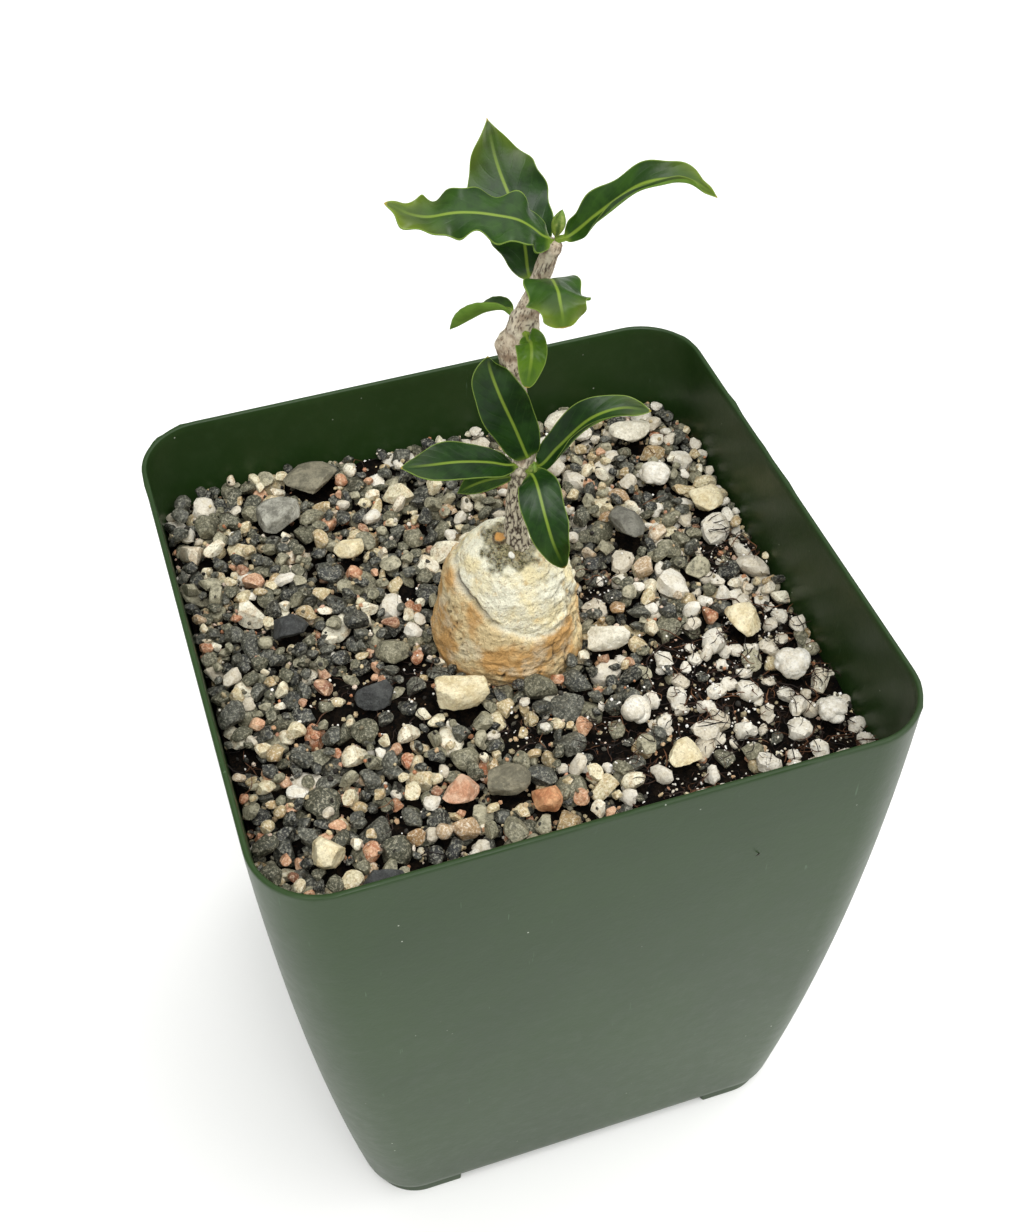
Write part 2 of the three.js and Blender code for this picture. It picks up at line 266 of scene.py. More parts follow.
def cloud(points, size, octaves=3, seed=0.0):
    # smooth noise of about -1 to 1, with features of the given size
    shift = Vector((seed * 17.3, seed * 5.1, seed * 9.7))
    flat = np.asarray(points, float).reshape(-1, 3) / size
    values = [noise.fractal(Vector(p) + shift, 1.0, 2.0, octaves) for p in flat]
    return np.array(values).reshape(np.shape(points)[:-1])


def smooth(value, low, high):
    share = np.clip((np.asarray(value, float) - low) / (high - low), 0, 1)
    return share * share * (3 - 2 * share)


def bell(value, middle, width):
    return np.exp(-(((np.asarray(value, float) - middle) / width) ** 2))


def spline(points, shares):
    # a smooth path through points, evenly timed between them
    points = np.asarray(points, float)
    padded = np.vstack([2 * points[0] - points[1], points, 2 * points[-1] - points[-2]])
    spot = np.clip(np.asarray(shares, float), 0, 1) * (len(points) - 1)
    i = np.minimum(spot.astype(int), len(points) - 2)
    u = (spot - i)[:, None]
    a, b, c, d = (padded[i + k] for k in range(4))
    curve = 2 * b + (c - a) * u + (2 * a - 5 * b + 4 * c - d) * u**2 + (3 * b - a - 3 * c + d) * u**3
    return curve / 2


def finishPiece(piece, material, replaced=()):
    piece.data.materials.clear()
    piece.data.materials.append(material)
    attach(piece, "root")
    if replaced:
        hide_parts(*replaced)


def cadSpan(node):
    low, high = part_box(node)
    return np.array(low) * 1000, np.array(high) * 1000


# nursery pot

pot = {
    "height": cadSpan("nursery_pot")[1][2],
    "widths": (100.0, 93.0, 79.6),  # at the mouth, half way down and at the feet
    "squeeze": 0.986,  # narrower one way than the other by this much
    "corners": (10.9, 9.3),  # radius at the mouth and at the feet
    "wall": 0.9,
    "floor": 1.2,
    "footHeight": 2.5,
    "footInset": 0.6,
    "footReach": 16.0,
    "drainRadius": 3.2,
    "drainAt": 24.0,
    "drainCut": (1.0, 8.0),  # heights that the cutting tool spans
    "drainSteps": 40,
    "flash": 0.34,  # ragged fin that the mould leaves on the rim
    "cornerSteps": 14,
    "sideSteps": 26,
    "wallSteps": 44,
    "creases": 40,  # degrees, above which an edge is drawn sharp
}


def potRing(z, inset, cornerSteps=pot["cornerSteps"], sideSteps=pot["sideSteps"]):
    down = (pot["height"] - z) / pot["height"]
    mouth, waist, base = pot["widths"]
    width = mouth * 2 * (down - 0.5) * (down - 1) + waist * 4 * down * (1 - down)
    width += base * 2 * down * (down - 0.5)  # one parabola through the three widths
    corner = pot["corners"][0] + (pot["corners"][1] - pot["corners"][0]) * down
    radius = max(corner - inset, 0.4)
    straight = width / 2 - inset - radius
    ring = []
    for quarter in range(4):
        turns = (quarter + np.arange(cornerSteps + 1) / cornerSteps) * math.pi / 2
        middle = math.pi / 4 + quarter * math.pi / 2
        across = math.copysign(straight, math.cos(middle)), math.copysign(straight, math.sin(middle))
        arc = np.stack([across[0] + radius * np.cos(turns), across[1] + radius * np.sin(turns)], -1)
        turn = turns[-1] + math.pi / 2
        step = np.array([math.cos(turn), math.sin(turn)]) * 2 * straight / sideSteps
        side = arc[-1] + step * np.arange(1, sideSteps)[:, None]
        ring += [arc, side]
    flat = np.vstack(ring) * (pot["squeeze"], 1 / pot["squeeze"])
    return np.column_stack([flat, np.full(len(flat), z)])


def ragged(ring, size, seed):
    return np.clip(cloud(ring, size, 2, seed) - 0.12, 0, None)


def potShell():
    top, floorTop, under = pot["height"], pot["footHeight"] + pot["floor"], pot["footHeight"]
    outside = [(under, 36), (under, 20), (under, 6), (under, 3), (under + 0.08, 2.0), (under + 0.4, 1.1)]
    outside += [(under + 1.1, 0.4), (under + 2, 0.08)]
    outside += [(z, 0) for z in np.linspace(under + 3.5, top - 1.5, pot["wallSteps"])]
    rim = [(top - 0.6, 0), (top - 0.25, 0.02), (top - 0.08, 0.1), (top, 0.28), (top, 0.62)]
    rim += [(top - 0.08, 0.8), (top - 0.25, 0.88)]
    inside = [(z, pot["wall"]) for z in np.linspace(top - 1.5, floorTop + 3, pot["wallSteps"])]
    inside += [(floorTop + 1, 1.3), (floorTop + 0.3, 2.2), (floorTop, 4), (floorTop, 20), (floorTop, 36)]
    rings = [potRing(z, inset) for z, inset in outside + rim + inside]
    fin = len(outside) + 2  # the rim's outer edge
    for ring, share in ((rings[fin - 1], 0.6), (rings[fin], 1.0), (rings[fin + 1], 0.5)):
        outward = ring[:, :2] / np.linalg.norm(ring[:, :2], axis=1)[:, None]
        fringe = np.minimum(ragged(ring, 2.2, 3), 0.7) * (ragged(ring, 14, 5) > 0.1)
        ring[:, :2] += outward * (fringe * pot["flash"] * share)[:, None]
        ring[:, 2] += fringe * pot["flash"] * share * 0.6
    return skin("nursery_pot_moulding", rings)


def potFoot(sx, sy):
    # the base outline within reach of its corner
    outline = potRing(0, pot["footInset"], 24, 60)[:, :2]
    corner = np.array([sx * pot["squeeze"], sy / pot["squeeze"]]) * pot["widths"][2] / 2
    near = outline[np.linalg.norm(outline - corner, axis=1) < pot["footReach"]]
    inward = np.array([-sx, -sy]) / math.sqrt(2)
    middle = corner + inward * pot["footReach"] * 0.4
    ends = near - corner
    start = np.arctan2(ends[:, 1], ends[:, 0])
    around = math.atan2(inward[1], inward[0])
    offsets = (start - around + math.pi) % (2 * math.pi) - math.pi
    sweep = np.linspace(offsets.min(), offsets.max(), 20)[1:-1] + around
    arc = corner + pot["footReach"] * np.stack([np.cos(sweep), np.sin(sweep)], -1)
    plan = np.vstack([near, arc])
    plan = plan[np.argsort(np.arctan2(plan[:, 1] - middle[1], plan[:, 0] - middle[0]))]
    levels = ((0, 0.955), (0.12, 0.985), (0.4, 1.0), (pot["footHeight"] + 0.4, 1.0))
    rings = []
    for z, share in levels:
        rings.append(np.column_stack([middle + (plan - middle) * share, np.full(len(plan), z)]))
    return skin("foot", rings)


def cutter(x, y):
    turns = np.linspace(0, 2 * math.pi, pot["drainSteps"], endpoint=False)
    circle = np.stack([x + pot["drainRadius"] * np.cos(turns), y + pot["drainRadius"] * np.sin(turns)], -1)
    return skin("drain", [np.column_stack([circle, turns * 0 + z]) for z in pot["drainCut"]])


def combine(piece, tools, operation):
    for tool in tools:
        modifier = piece.modifiers.new("join", "BOOLEAN")
        modifier.operation, modifier.object, modifier.solver = operation, tool, "EXACT"
    settle(piece)
    for tool in tools:
        bpy.data.objects.remove(tool)


def settle(piece):
    # turns what the modifiers make into the piece's own mesh
    layer = bpy.context.evaluated_depsgraph_get()
    shown = piece.evaluated_get(layer)
    made = bpy.data.meshes.new_from_object(shown, preserve_all_data_layers=True, depsgraph=layer)
    piece.modifiers.clear()
    piece.data = made


def polypropylene(graph):
    cloudiness = graph.noise(30, 2, 0.5)
    mottle = graph.noise(2.4, 4, 0.6)
    green = graph.tint(cloudiness.between(0.35, 0.7), shade(34, 56, 22), shade(39, 62, 26))
    green = graph.tint(mottle.between(0.45, 0.75) * 0.2, green, shade(56, 76, 44))
    drawn = {"Vector": graph.place(), "Rotation": (0.0, 0.35, 0.2), "Scale": (1, 1, 0.06)}
    wall = graph.add("ShaderNodeMapping", {}, drawn)
    scratches = graph.noise(0.7, 2, 0.5, wall).between(0.715, 0.735) * graph.noise(9, 2).between(0.52, 0.66)
    dust = graph.cells(3.4).between(0.05, 0.028) * graph.noise(14, 2).between(0.45, 0.65)
    green = graph.tint(scratches * 0.35, green, shade(120, 142, 120))
    green = graph.tint(dust * 0.8, green, shade(200, 205, 190))
    skinGrain = graph.noise(0.55, 2, 0.5) * 0.6 + graph.noise(2.5, 2, 0.5)
    sink = graph.bump(graph.noise(26, 1, 0.4), 0.5, 0.35)
    return {
        "Base Color": green,
        "Roughness": mottle * 0.16 + 0.3 + scratches * 0.2 + dust * 0.3,
        "Normal": graph.bump(skinGrain, 0.05, 0.5, sink),
    }


def buildPot():
    shell = potShell()
    feet = [potFoot(sx, sy) for sx in (-1, 1) for sy in (-1, 1)]
    combine(shell, feet, "UNION")
    drains = [cutter(sx * pot["drainAt"], sy * pot["drainAt"]) for sx in (-1, 1) for sy in (-1, 1)]
    combine(shell, drains, "DIFFERENCE")
    shell.data.shade_smooth()
    shell.data.set_sharp_from_angle(angle=math.radians(pot["creases"]))
    material = finishFrom("green polypropylene", polypropylene, Specular_IOR_Level=0.3, IOR=1.49)
    finishPiece(shell, material, ["nursery_pot"])


buildPot()
print("pot moulded")


# caudex

caudex = {
    "centre": (0.9, 1.5),
    "profile": [
        (52, 0.8), (60, 2.4), (70, 5.2), (80, 8.2), (88, 10.0), (94, 10.6),
        (99, 10.8), (104, 10.4), (108, 9.7), (112, 8.6), (115.3, 6.7), (117.4, 4.3), (118.2, 2.2),
    ],
    "ledge": [  # angle in degrees and height of the crease between crown and skirt
        (-180, 112.5), (-165, 112), (-150, 110.5), (-129, 108.8), (-108, 107.2), (-89, 105.6),
        (-67, 105.2), (-49, 106.2), (-25, 108), (0, 109), (45, 109.5), (100, 111), (150, 113), (180, 112.5),
    ],
    "ledgeDepth": 0.7,
    "marks": {"scar": (-0.3, 0.9, 0.8), "callus": (0.7, -1.9, 0.55)},  # x, y and radius
    "lean": 0.9,
    "sides": 200,
    "levels": 230,
}


def caudexSurface():
    heights = spline(caudex["profile"], np.linspace(0, 1, caudex["levels"]))
    turns = np.linspace(-math.pi, math.pi, caudex["sides"], endpoint=False)
    z, turn = np.meshgrid(heights[:, 0], turns, indexing="ij")
    radius = np.repeat(heights[:, 1:2], caudex["sides"], 1)
    lean = np.clip((z - 101) / 16, 0, None)
    uneven = 1 + 0.03 * np.cos(2 * turn + 0.8) + 0.02 * np.sin(3 * turn + z * 0.05)
    outward = np.stack([np.cos(turn), np.sin(turn), z * 0], -1)
    skinPlace = np.stack([np.cos(turn) * 11, np.sin(turn) * 11, z], -1)
    angles, creases = np.array(caudex["ledge"], float).T
    crease = np.interp(np.degrees(turn), angles, creases) + 0.7 * cloud(skinPlace, 5, 3, 2)
    rightSide = bell(np.degrees(turn), -20, 42) * smooth(z, 96, 100)
    below = smooth(crease - z, -0.15, 0.55)
    groove = bell(z - crease, 0.15, 0.35) * (1 - 0.85 * bell(np.degrees(turn), -88, 40))
    lumps = 0.32 * cloud(skinPlace, 7, 3, 1) + 0.13 * cloud(skinPlace, 2.2, 3, 4)
    stretched = skinPlace * (1, 1, 0.45)
    fissure = np.abs(cloud(stretched, 2.6, 3, 6))
    upright = np.abs(cloud(skinPlace * (1, 1, 0.28), 3.0, 2, 8))
    crack = below * smooth(upright, 0.05, 0.012) * smooth(cloud(skinPlace, 6, 1, 9), 0.02, 0.22)
    facing = 0.35 + 0.65 * bell(np.degrees(turn), -110, 110)
    crack = np.maximum(crack * facing, groove * facing * smooth(cloud(skinPlace, 3, 2, 10), -0.5, 0.0))
    wrinkles = (0.25 + rightSide) * np.abs(cloud(skinPlace * (0.5, 0.5, 1.7), 3, 3, 12))
    hem = bell(z, 99.3, 1.5) * 0.35 * cloud(skinPlace, 2.4, 3, 14)
    folds = rightSide * smooth(np.abs(cloud(skinPlace * (0.5, 0.5, 1.5), 3.4, 3, 19)), 0.09, 0.01)
    crack = np.maximum(crack, 0.85 * folds)
    grainy = 0.1 * cloud(skinPlace, 0.8, 3, 15)
    step = caudex["ledgeDepth"] * below * smooth(z, 90, 100) * (1 - 0.7 * rightSide)
    skirtFlare = 0.25 * bell(z, 98.5, 2.5) - 0.6 * rightSide * bell(z, 100, 6)
    offset = lumps + step + skirtFlare + wrinkles + hem + grainy
    offset = offset - 0.45 * crack - 0.12 * smooth(fissure, 0.12, 0.0)
    offset *= smooth(radius, 0.5, 7)
    full = radius * uneven + offset
    centre = np.array([*caudex["centre"], 0])
    points = centre + outward * full[..., None]
    points[..., 0] += caudex["lean"] * lean
    points[..., 2] = z + 1.1 * lean**2 * np.cos(turn - 2.4) + 0.25 * lean * cloud(skinPlace, 3, 3, 16)
    top = smooth(z, 110, 113)
    fromPatch = np.hypot(points[..., 0] - 0.7, points[..., 1] + 0.1) + 1.3 * cloud(points, 2.5, 3, 18)
    spots = {"patch": smooth(fromPatch, 4.6, 3.5) * top}
    for key, (x, y, reach) in caudex["marks"].items():
        away = np.hypot(points[..., 0] - x, points[..., 1] - y) / reach
        spots[key] = smooth(away, 1.0, 0.75) * top
        spots[key + "Rim"] = bell(away, 1.15, 0.22) * top
        points[..., 2] += (0.28 * smooth(away, 1.4, 0.6) - 0.2 * bell(away, 0.3, 0.4)) * top
    # the crack mark cuts these hollows in, and the finish also tints them dark as painted shade
    return points, {"skirt": below, "crack": np.clip(crack, 0, 1), **spots}


def caudexBark(graph):
    skirt, crack, patch = graph.mark("skirt"), graph.mark("crack"), graph.mark("patch")
    broad, fine = graph.noise(4.5, 4, 0.6), graph.noise(0.9, 4, 0.65)
    speckle = graph.noise(0.3, 2, 0.6)
    freckle = graph.noise(0.5, 3, 0.7)
    cream = graph.tint(broad.between(0.42, 0.68), shade(255, 252, 226), shade(252, 238, 190))
    cream = graph.tint(graph.noise(2.6, 3).between(0.57, 0.7) * 0.8, cream, shade(230, 200, 138))
    tan = graph.tint(graph.noise(6, 3, 0.5).between(0.4, 0.58), shade(218, 172, 108), shade(238, 216, 166))
    tan = graph.tint(graph.noise(1.8, 4).between(0.5, 0.7) * 0.6, tan, shade(196, 148, 90))
    bark = graph.tint(skirt * (0.6 + 0.4 * broad.between(0.35, 0.5)), cream, tan)
    bark = graph.tint(fine.between(0.55, 0.8) * 0.35, bark, shade(196, 160, 100))
    lichen = graph.tint(speckle.between(0.42, 0.6), shade(52, 52, 34), shade(134, 128, 92))
    bark = graph.tint(patch * (0.7 + 0.3 * fine.between(0.35, 0.6)), bark, lichen)
    specks = freckle.between(0.56, 0.64) * graph.noise(3, 2).between(0.3, 0.55)
    bark = graph.tint(specks * 0.45, bark, shade(130, 94, 48))
    pits = graph.noise(0.19, 2, 0.7).between(0.56, 0.66)
    bark = graph.tint(pits * 0.3, bark, shade(150, 112, 64))
    # painted shade: the cracks, folds and the crease under the crown are tinted near black, standing in for
    # the shade inside them
    bark = graph.tint(crack, bark, shade(52, 38, 24))
    bark = graph.tint(graph.mark("scarRim") * 0.8, bark, shade(70, 50, 34))
    bark = graph.tint(graph.mark("scar"), bark, shade(214, 158, 88))
    bark = graph.tint(graph.mark("callus"), bark, shade(250, 246, 232))
    return {
        "Base Color": bark,
        "Roughness": 0.62 + 0.25 * fine,
        "Normal": graph.bump(fine * 0.8 + speckle * 0.35 + freckle * 0.6, 0.45, 1.0),
    }


def buildCaudex():
    points, marks = caudexSurface()
    material = finishFrom("caudex bark", caudexBark, Specular_IOR_Level=0.3)
    finishPiece(skin("caudex_bark", points, marks), material, ["caudex"])


buildCaudex()
print("caudex grown")


# stem

stem = {
    "path": [
        (2.3, 1.0, 115.6), (2.4, 1.0, 121), (2.5, 1.0, 126), (3.3, 0.7, 131.5), (4.3, 0.4, 136),
        (3.8, 0.6, 141), (3.0, 0.8, 146.5), (2.5, 1.0, 152.5), (3.9, 0.5, 157.2), (5.5, 0.0, 162.3),
        (6.9, -0.5, 167.5), (8.1, -0.8, 170.9),
    ],
    "radii": [2.1, 1.75, 1.5, 1.5, 1.25, 1.2, 1.4, 2.05, 2.0, 1.45, 1.25, 1.25],
    "knobs": [  # height, angle in degrees, reach and how far it stands out
        (153.6, 165, 0.9, 0.7), (156.8, 20, 1.0, 0.5), (159, -70, 0.9, 0.4), (149.5, 30, 0.9, 0.3),
    ],
    "scars": [(132, 0.5, 1), (133.4, 0.35, 1), (169.6, 0.4, 0.5)],  # rings: height, width and strength
    "tip": [0.08, 0.2, 0.36, 0.55, 0.75, 0.92],  # how far the last rings close in
    "sides": 72,
    "levels": 420,
}


def sweepFrames(path):
    # two crosswise directions at each point of a path, without sudden turns
    tangent = np.gradient(path, axis=0)
    tangent /= np.linalg.norm(tangent, axis=1)[:, None]
    across = np.array([1.0, 0, 0])
    frames = []
    for direction in tangent:
        across = across - direction * (across @ direction)
        across /= np.linalg.norm(across)
        frames.append((across, np.cross(direction, across)))
    return np.array(frames)


def stemSurface():
    shares = np.linspace(0, 1, stem["levels"])
    path = spline(stem["path"], shares)
    radius = spline(np.array(stem["radii"])[:, None], shares)
    frames = sweepFrames(path)
    run = np.concatenate([[0], np.cumsum(np.linalg.norm(np.diff(path, axis=0), axis=1))])
    turn = np.linspace(0, 2 * math.pi, stem["sides"], endpoint=False)
    barkPlace = np.stack(np.broadcast_arrays(np.cos(turn) * 1.5, np.sin(turn) * 1.5, run[:, None]), -1)
    low = 1 - smooth(path[:, 2], 129, 136)[:, None]
    net = np.abs(cloud(barkPlace * (1, 1, 0.33), 0.5, 2, 21))
    furrow = smooth(net, 0.3, 0.08) * low
    long = np.abs(cloud(barkPlace * (1, 1, 0.12), 0.55, 3, 23))
    fissure = smooth(long, 0.1, 0.0) * (1 - low) * smooth(cloud(barkPlace, 3, 2, 24), -0.25, 0.15)
    lump = cloud(barkPlace * (1.2, 1.2, 0.8), 2.0, 3, 25)
    knobbly = 0.12 + 0.42 * bell(path[:, 2], 155, 5)[:, None]
    scars = sum(strength * bell(path[:, 2], z, width) for z, width, strength in stem["scars"])
    ring = scars[:, None] * (0.28 + 0.12 * cloud(barkPlace, 0.8, 2, 26))
    flare = 0.3 * bell(path[:, 2], 116.4, 1.0)[:, None]
    knob = 0
    for z, angle, reach, height in stem["knobs"]:
        swing = np.abs((turn - math.radians(angle) + math.pi) % (2 * math.pi) - math.pi) * 1.9
        knob = knob + height * np.exp(-((path[:, 2:] - z) ** 2 + swing**2) / reach**2)
    size = radius + knob + lump * knobbly - 0.16 * furrow - 0.14 * fissure + ring + flare
    outward = frames[:, 0, None] * np.cos(turn)[:, None] + frames[:, 1, None] * np.sin(turn)[:, None]
    points = path[:, None] + outward * size[..., None]
    old = np.broadcast_to(low, size.shape)
    last = points[-len(stem["tip"]):]
    last += (path[-1] - last) * np.array(stem["tip"])[:, None, None]
    # the furrow mark sinks these hollows, and the finish also tints them dark, partly as painted shade
    return points, {"furrow": np.clip(furrow + fissure, 0, 1), "old": old, "knob": lump}


def stemBark(graph):
    furrow, old, knob = graph.mark("furrow"), graph.mark("old"), graph.mark("knob")
    fine = graph.noise(0.35, 3, 0.6)
    flakes = graph.noise(1.6, 4, 0.6)
    drawn = graph.add("ShaderNodeMapping", {}, {"Vector": graph.place(), "Scale": (1, 1, 0.3)})
    streaks = graph.noise(0.42, 3, 0.6, drawn)
    young = graph.tint(flakes.between(0.35, 0.65), shade(140, 120, 98), shade(206, 192, 168))
    young = graph.tint(knob.between(0.0, 0.5) * 0.5, young, shade(226, 218, 196))
    young = graph.tint(streaks.between(0.54, 0.66) * 0.75, young, shade(84, 66, 50))
    aged = graph.tint(fine.between(0.3, 0.7), shade(204, 192, 164), shade(236, 226, 202))
    bark = graph.tint(old, young, aged)
    # partly the bark's darker colour and partly painted shade: the sunken furrows and fissures are tinted
    # dark brown
    bark = graph.tint(furrow * 0.95, bark, shade(58, 40, 32))
    bark = graph.tint(fine.between(0.58, 0.75) * 0.4, bark, shade(116, 94, 72))
    relief = fine * 0.5 + flakes * 0.4 + streaks * 0.8
    return {"Base Color": bark, "Roughness": 0.72 + 0.15 * fine, "Normal": graph.bump(relief, 0.2, 0.9)}


def buildStem():
    points, marks = stemSurface()
    material = finishFrom("stem bark", stemBark, Specular_IOR_Level=0.3)
    finishPiece(skin("stem_bark", points, marks), material, ["stem"])


buildStem()
print("stem grown")


# leaves
# rib: the midrib from stem to tip. up: where the upper face looks. roll, curl: degrees at even steps
# from foot to tip, where roll turns the blade about its rib and curl is how far each margin turns up.
# wave: height of the wavy margin. lobes: how much the outline swells in and out. fresh: 1 is young.

toViewer = (-0.26, -0.79, 0.55)
leaves = {
    "leaf_top_back": {
        "rib": [
            (5.3, 1.9, 164.6), (5.4, 4.2, 168.6), (5.0, 8.2, 172.2), (4.3, 11.8, 176), (4.2, 15.2, 180.5),
        ],
        "width": 10.2, "widest": 0.56, "up": toViewer, "curl": ([12, 8, 4], [12, 8, 4]),
        "wave": 0.35, "waves": 3.4, "phase": 0.6, "lobes": 0.04, "fresh": 0.1, "yellow": 0.5, "point": 1.15,
    },
    "leaf_top_left": {
        "rib": [
            (6.6, -1.0, 171.6), (3.0, -0.9, 175.0), (-3.5, 0.3, 176.8),
            (-9.0, 1.6, 176.6), (-13.2, 3.0, 178.7),
        ],
        "width": 7.6, "widest": 0.42, "up": (0, -0.35, 1), "curl": ([6, 0, 6], [6, 0, 6]),
        "wave": 0.75, "waves": 4.1, "phase": 0.2, "lobes": 0.12, "fresh": 0.25, "yellow": 0.9, "point": 0.7,
    },
    "leaf_top_right": {
        "rib": [
            (9.9, -1.3, 171.4), (13.0, -2.4, 174.4), (18.4, -4.2, 178.8),
            (23.8, -6.0, 179.4), (27.6, -7.3, 176.8),
        ],
        "width": 5.4, "widest": 0.5, "up": (-0.35, -0.75, 0.55), "roll": [0, 0, -26, -38, -36],
        "curl": ([10, 60, 100, 90, 40], [10, 20, 24]),
        "wave": 0.4, "waves": 2.8, "phase": 1.0, "lobes": 0.12, "fresh": 0.3, "yellow": 0.9, "point": 0.9,
    },
    "leaf_front": {
        "rib": [
            (5.9, -1.9, 165.6), (5.6, -6.3, 168.9), (4.8, -11.0, 170.6),
            (4.4, -13.6, 169.8), (4.2, -15.2, 167.8),
        ],
        "width": 8.0, "widest": 0.56, "up": (0.05, -0.3, 1), "curl": ([-6, -16, -10], [-6, -16, -10]),
        "wave": 0.85, "waves": 2.3, "phase": 2.2, "lobes": 0.1, "fresh": 0.35, "yellow": 0.8, "point": 0.45,
    },
    "leaf_mid_left": {
        "rib": [(2.6, 3.3, 158.6), (0.5, 5.7, 157.4), (-1.6, 8.0, 154.8), (-3.7, 10.4, 151.9)],
        "width": 5.0, "widest": 0.5, "up": (0.1, 0.5, 0.85), "curl": ([50, 75, 40], [30, 50, 30]),
        "wave": 0.1, "waves": 1.5, "phase": 0.0, "lobes": 0.0, "fresh": 0.5, "yellow": 0.3, "point": 0.9,
    },
    "leaf_small_front": {
        "rib": [(3.4, -3.0, 157.9), (3.3, -4.8, 158.3), (2.7, -6.6, 157.0), (1.7, -7.6, 153.4)],
        "width": 4.3, "widest": 0.5, "up": (-0.26, -0.85, 0.5), "curl": ([14, 14], [14, 14]),
        "wave": 0.12, "waves": 1.5, "phase": 0.5, "lobes": 0.02, "fresh": 1.0, "yellow": 0.2, "point": 0.5,
    },
    "leaf_low_back": {
        "rib": [
            (3.7, -0.7, 135.6), (1.9, -0.6, 141.5), (0.1, -0.4, 147.0),
            (-0.9, 0.4, 151.1), (-1.1, 0.8, 153.3),
        ],
        "width": 7.4, "widest": 0.45, "up": toViewer, "curl": ([14, 10, 60], [14, 10, 0]),
        "wave": 0.3, "waves": 2.0, "phase": 1.7, "lobes": 0.03, "fresh": 0.0, "yellow": 0.1, "point": 0.8,
    },
    "leaf_low_left": {
        "rib": [
            (1.4, -0.4, 133.8), (-2, -0.9, 135.8), (-6.5, -1.4, 137.6),
            (-11, -1.4, 138.3), (-14.9, -0.6, 138.3),
        ],
        "width": 6.6, "widest": 0.54, "up": (0, -0.3, 1), "curl": ([14, 10, 14], [14, 10, 14]),
        "wave": 0.28, "waves": 1.8, "phase": 0.9, "lobes": 0.02, "fresh": 0.0, "yellow": 0.1, "point": 0.85,
    },
    "leaf_low_under": {
        "rib": [(1.2, 0.8, 130.6), (-1.5, 1.6, 130.2), (-3.8, 2.3, 129.2), (-6.0, 2.9, 127.9)],
        "width": 3.9, "widest": 0.5, "up": (0, -0.35, 1), "curl": ([20, 20], [20, 20]),
        "wave": 0.12, "waves": 1.5, "phase": 0.0, "lobes": 0.0, "fresh": 0.45, "yellow": 0.1, "point": 1.0,
    },
    "leaf_low_right": {
        "rib": [
            (5.6, -1.2, 133.4), (8.2, -2.0, 136.8), (12.4, -3.3, 141.7),
            (16.8, -4.2, 143.2), (21.0, -5.1, 142.2),
        ],
        "width": 5.6, "widest": 0.5, "up": (-0.3, -0.8, 0.5), "roll": [0, 0, -24, -36, -34],
        "curl": ([20, 80, 110, 60, 20], [20, 22, 16]),
        "wave": 0.3, "waves": 1.8, "phase": 1.2, "lobes": 0.04, "fresh": 0.0, "yellow": 0.3, "point": 0.8,
    },
    "leaf_low_front": {
        "rib": [
            (4.1, -2.3, 132.8), (4.0, -5.0, 132.5), (4.0, -8.5, 129.5),
            (4.6, -10.2, 125.8), (6.0, -10.9, 121.3),
        ],
        "width": 6.4, "widest": 0.44, "up": (-0.2, -0.8, 0.5), "curl": ([10, 8, 14], [10, 8, 14]),
        "wave": 0.32, "waves": 2.2, "phase": 2.6, "lobes": 0.03, "fresh": 0.05, "yellow": 0.1, "point": 0.6,
    },
}
blade = {
    "thickness": 0.42,
    "petiole": 0.7,  # share of the first stretch of rib that is bare stalk
    "stalk": 0.5,  # half its width
    "base": 0.6,  # how full the blade is at its foot
    "along": 100,
    "across": 27,
    "curlSteps": 25,
}


def evenSteps(values, shares):
    return np.interp(shares, np.linspace(0, 1, len(values)), values)


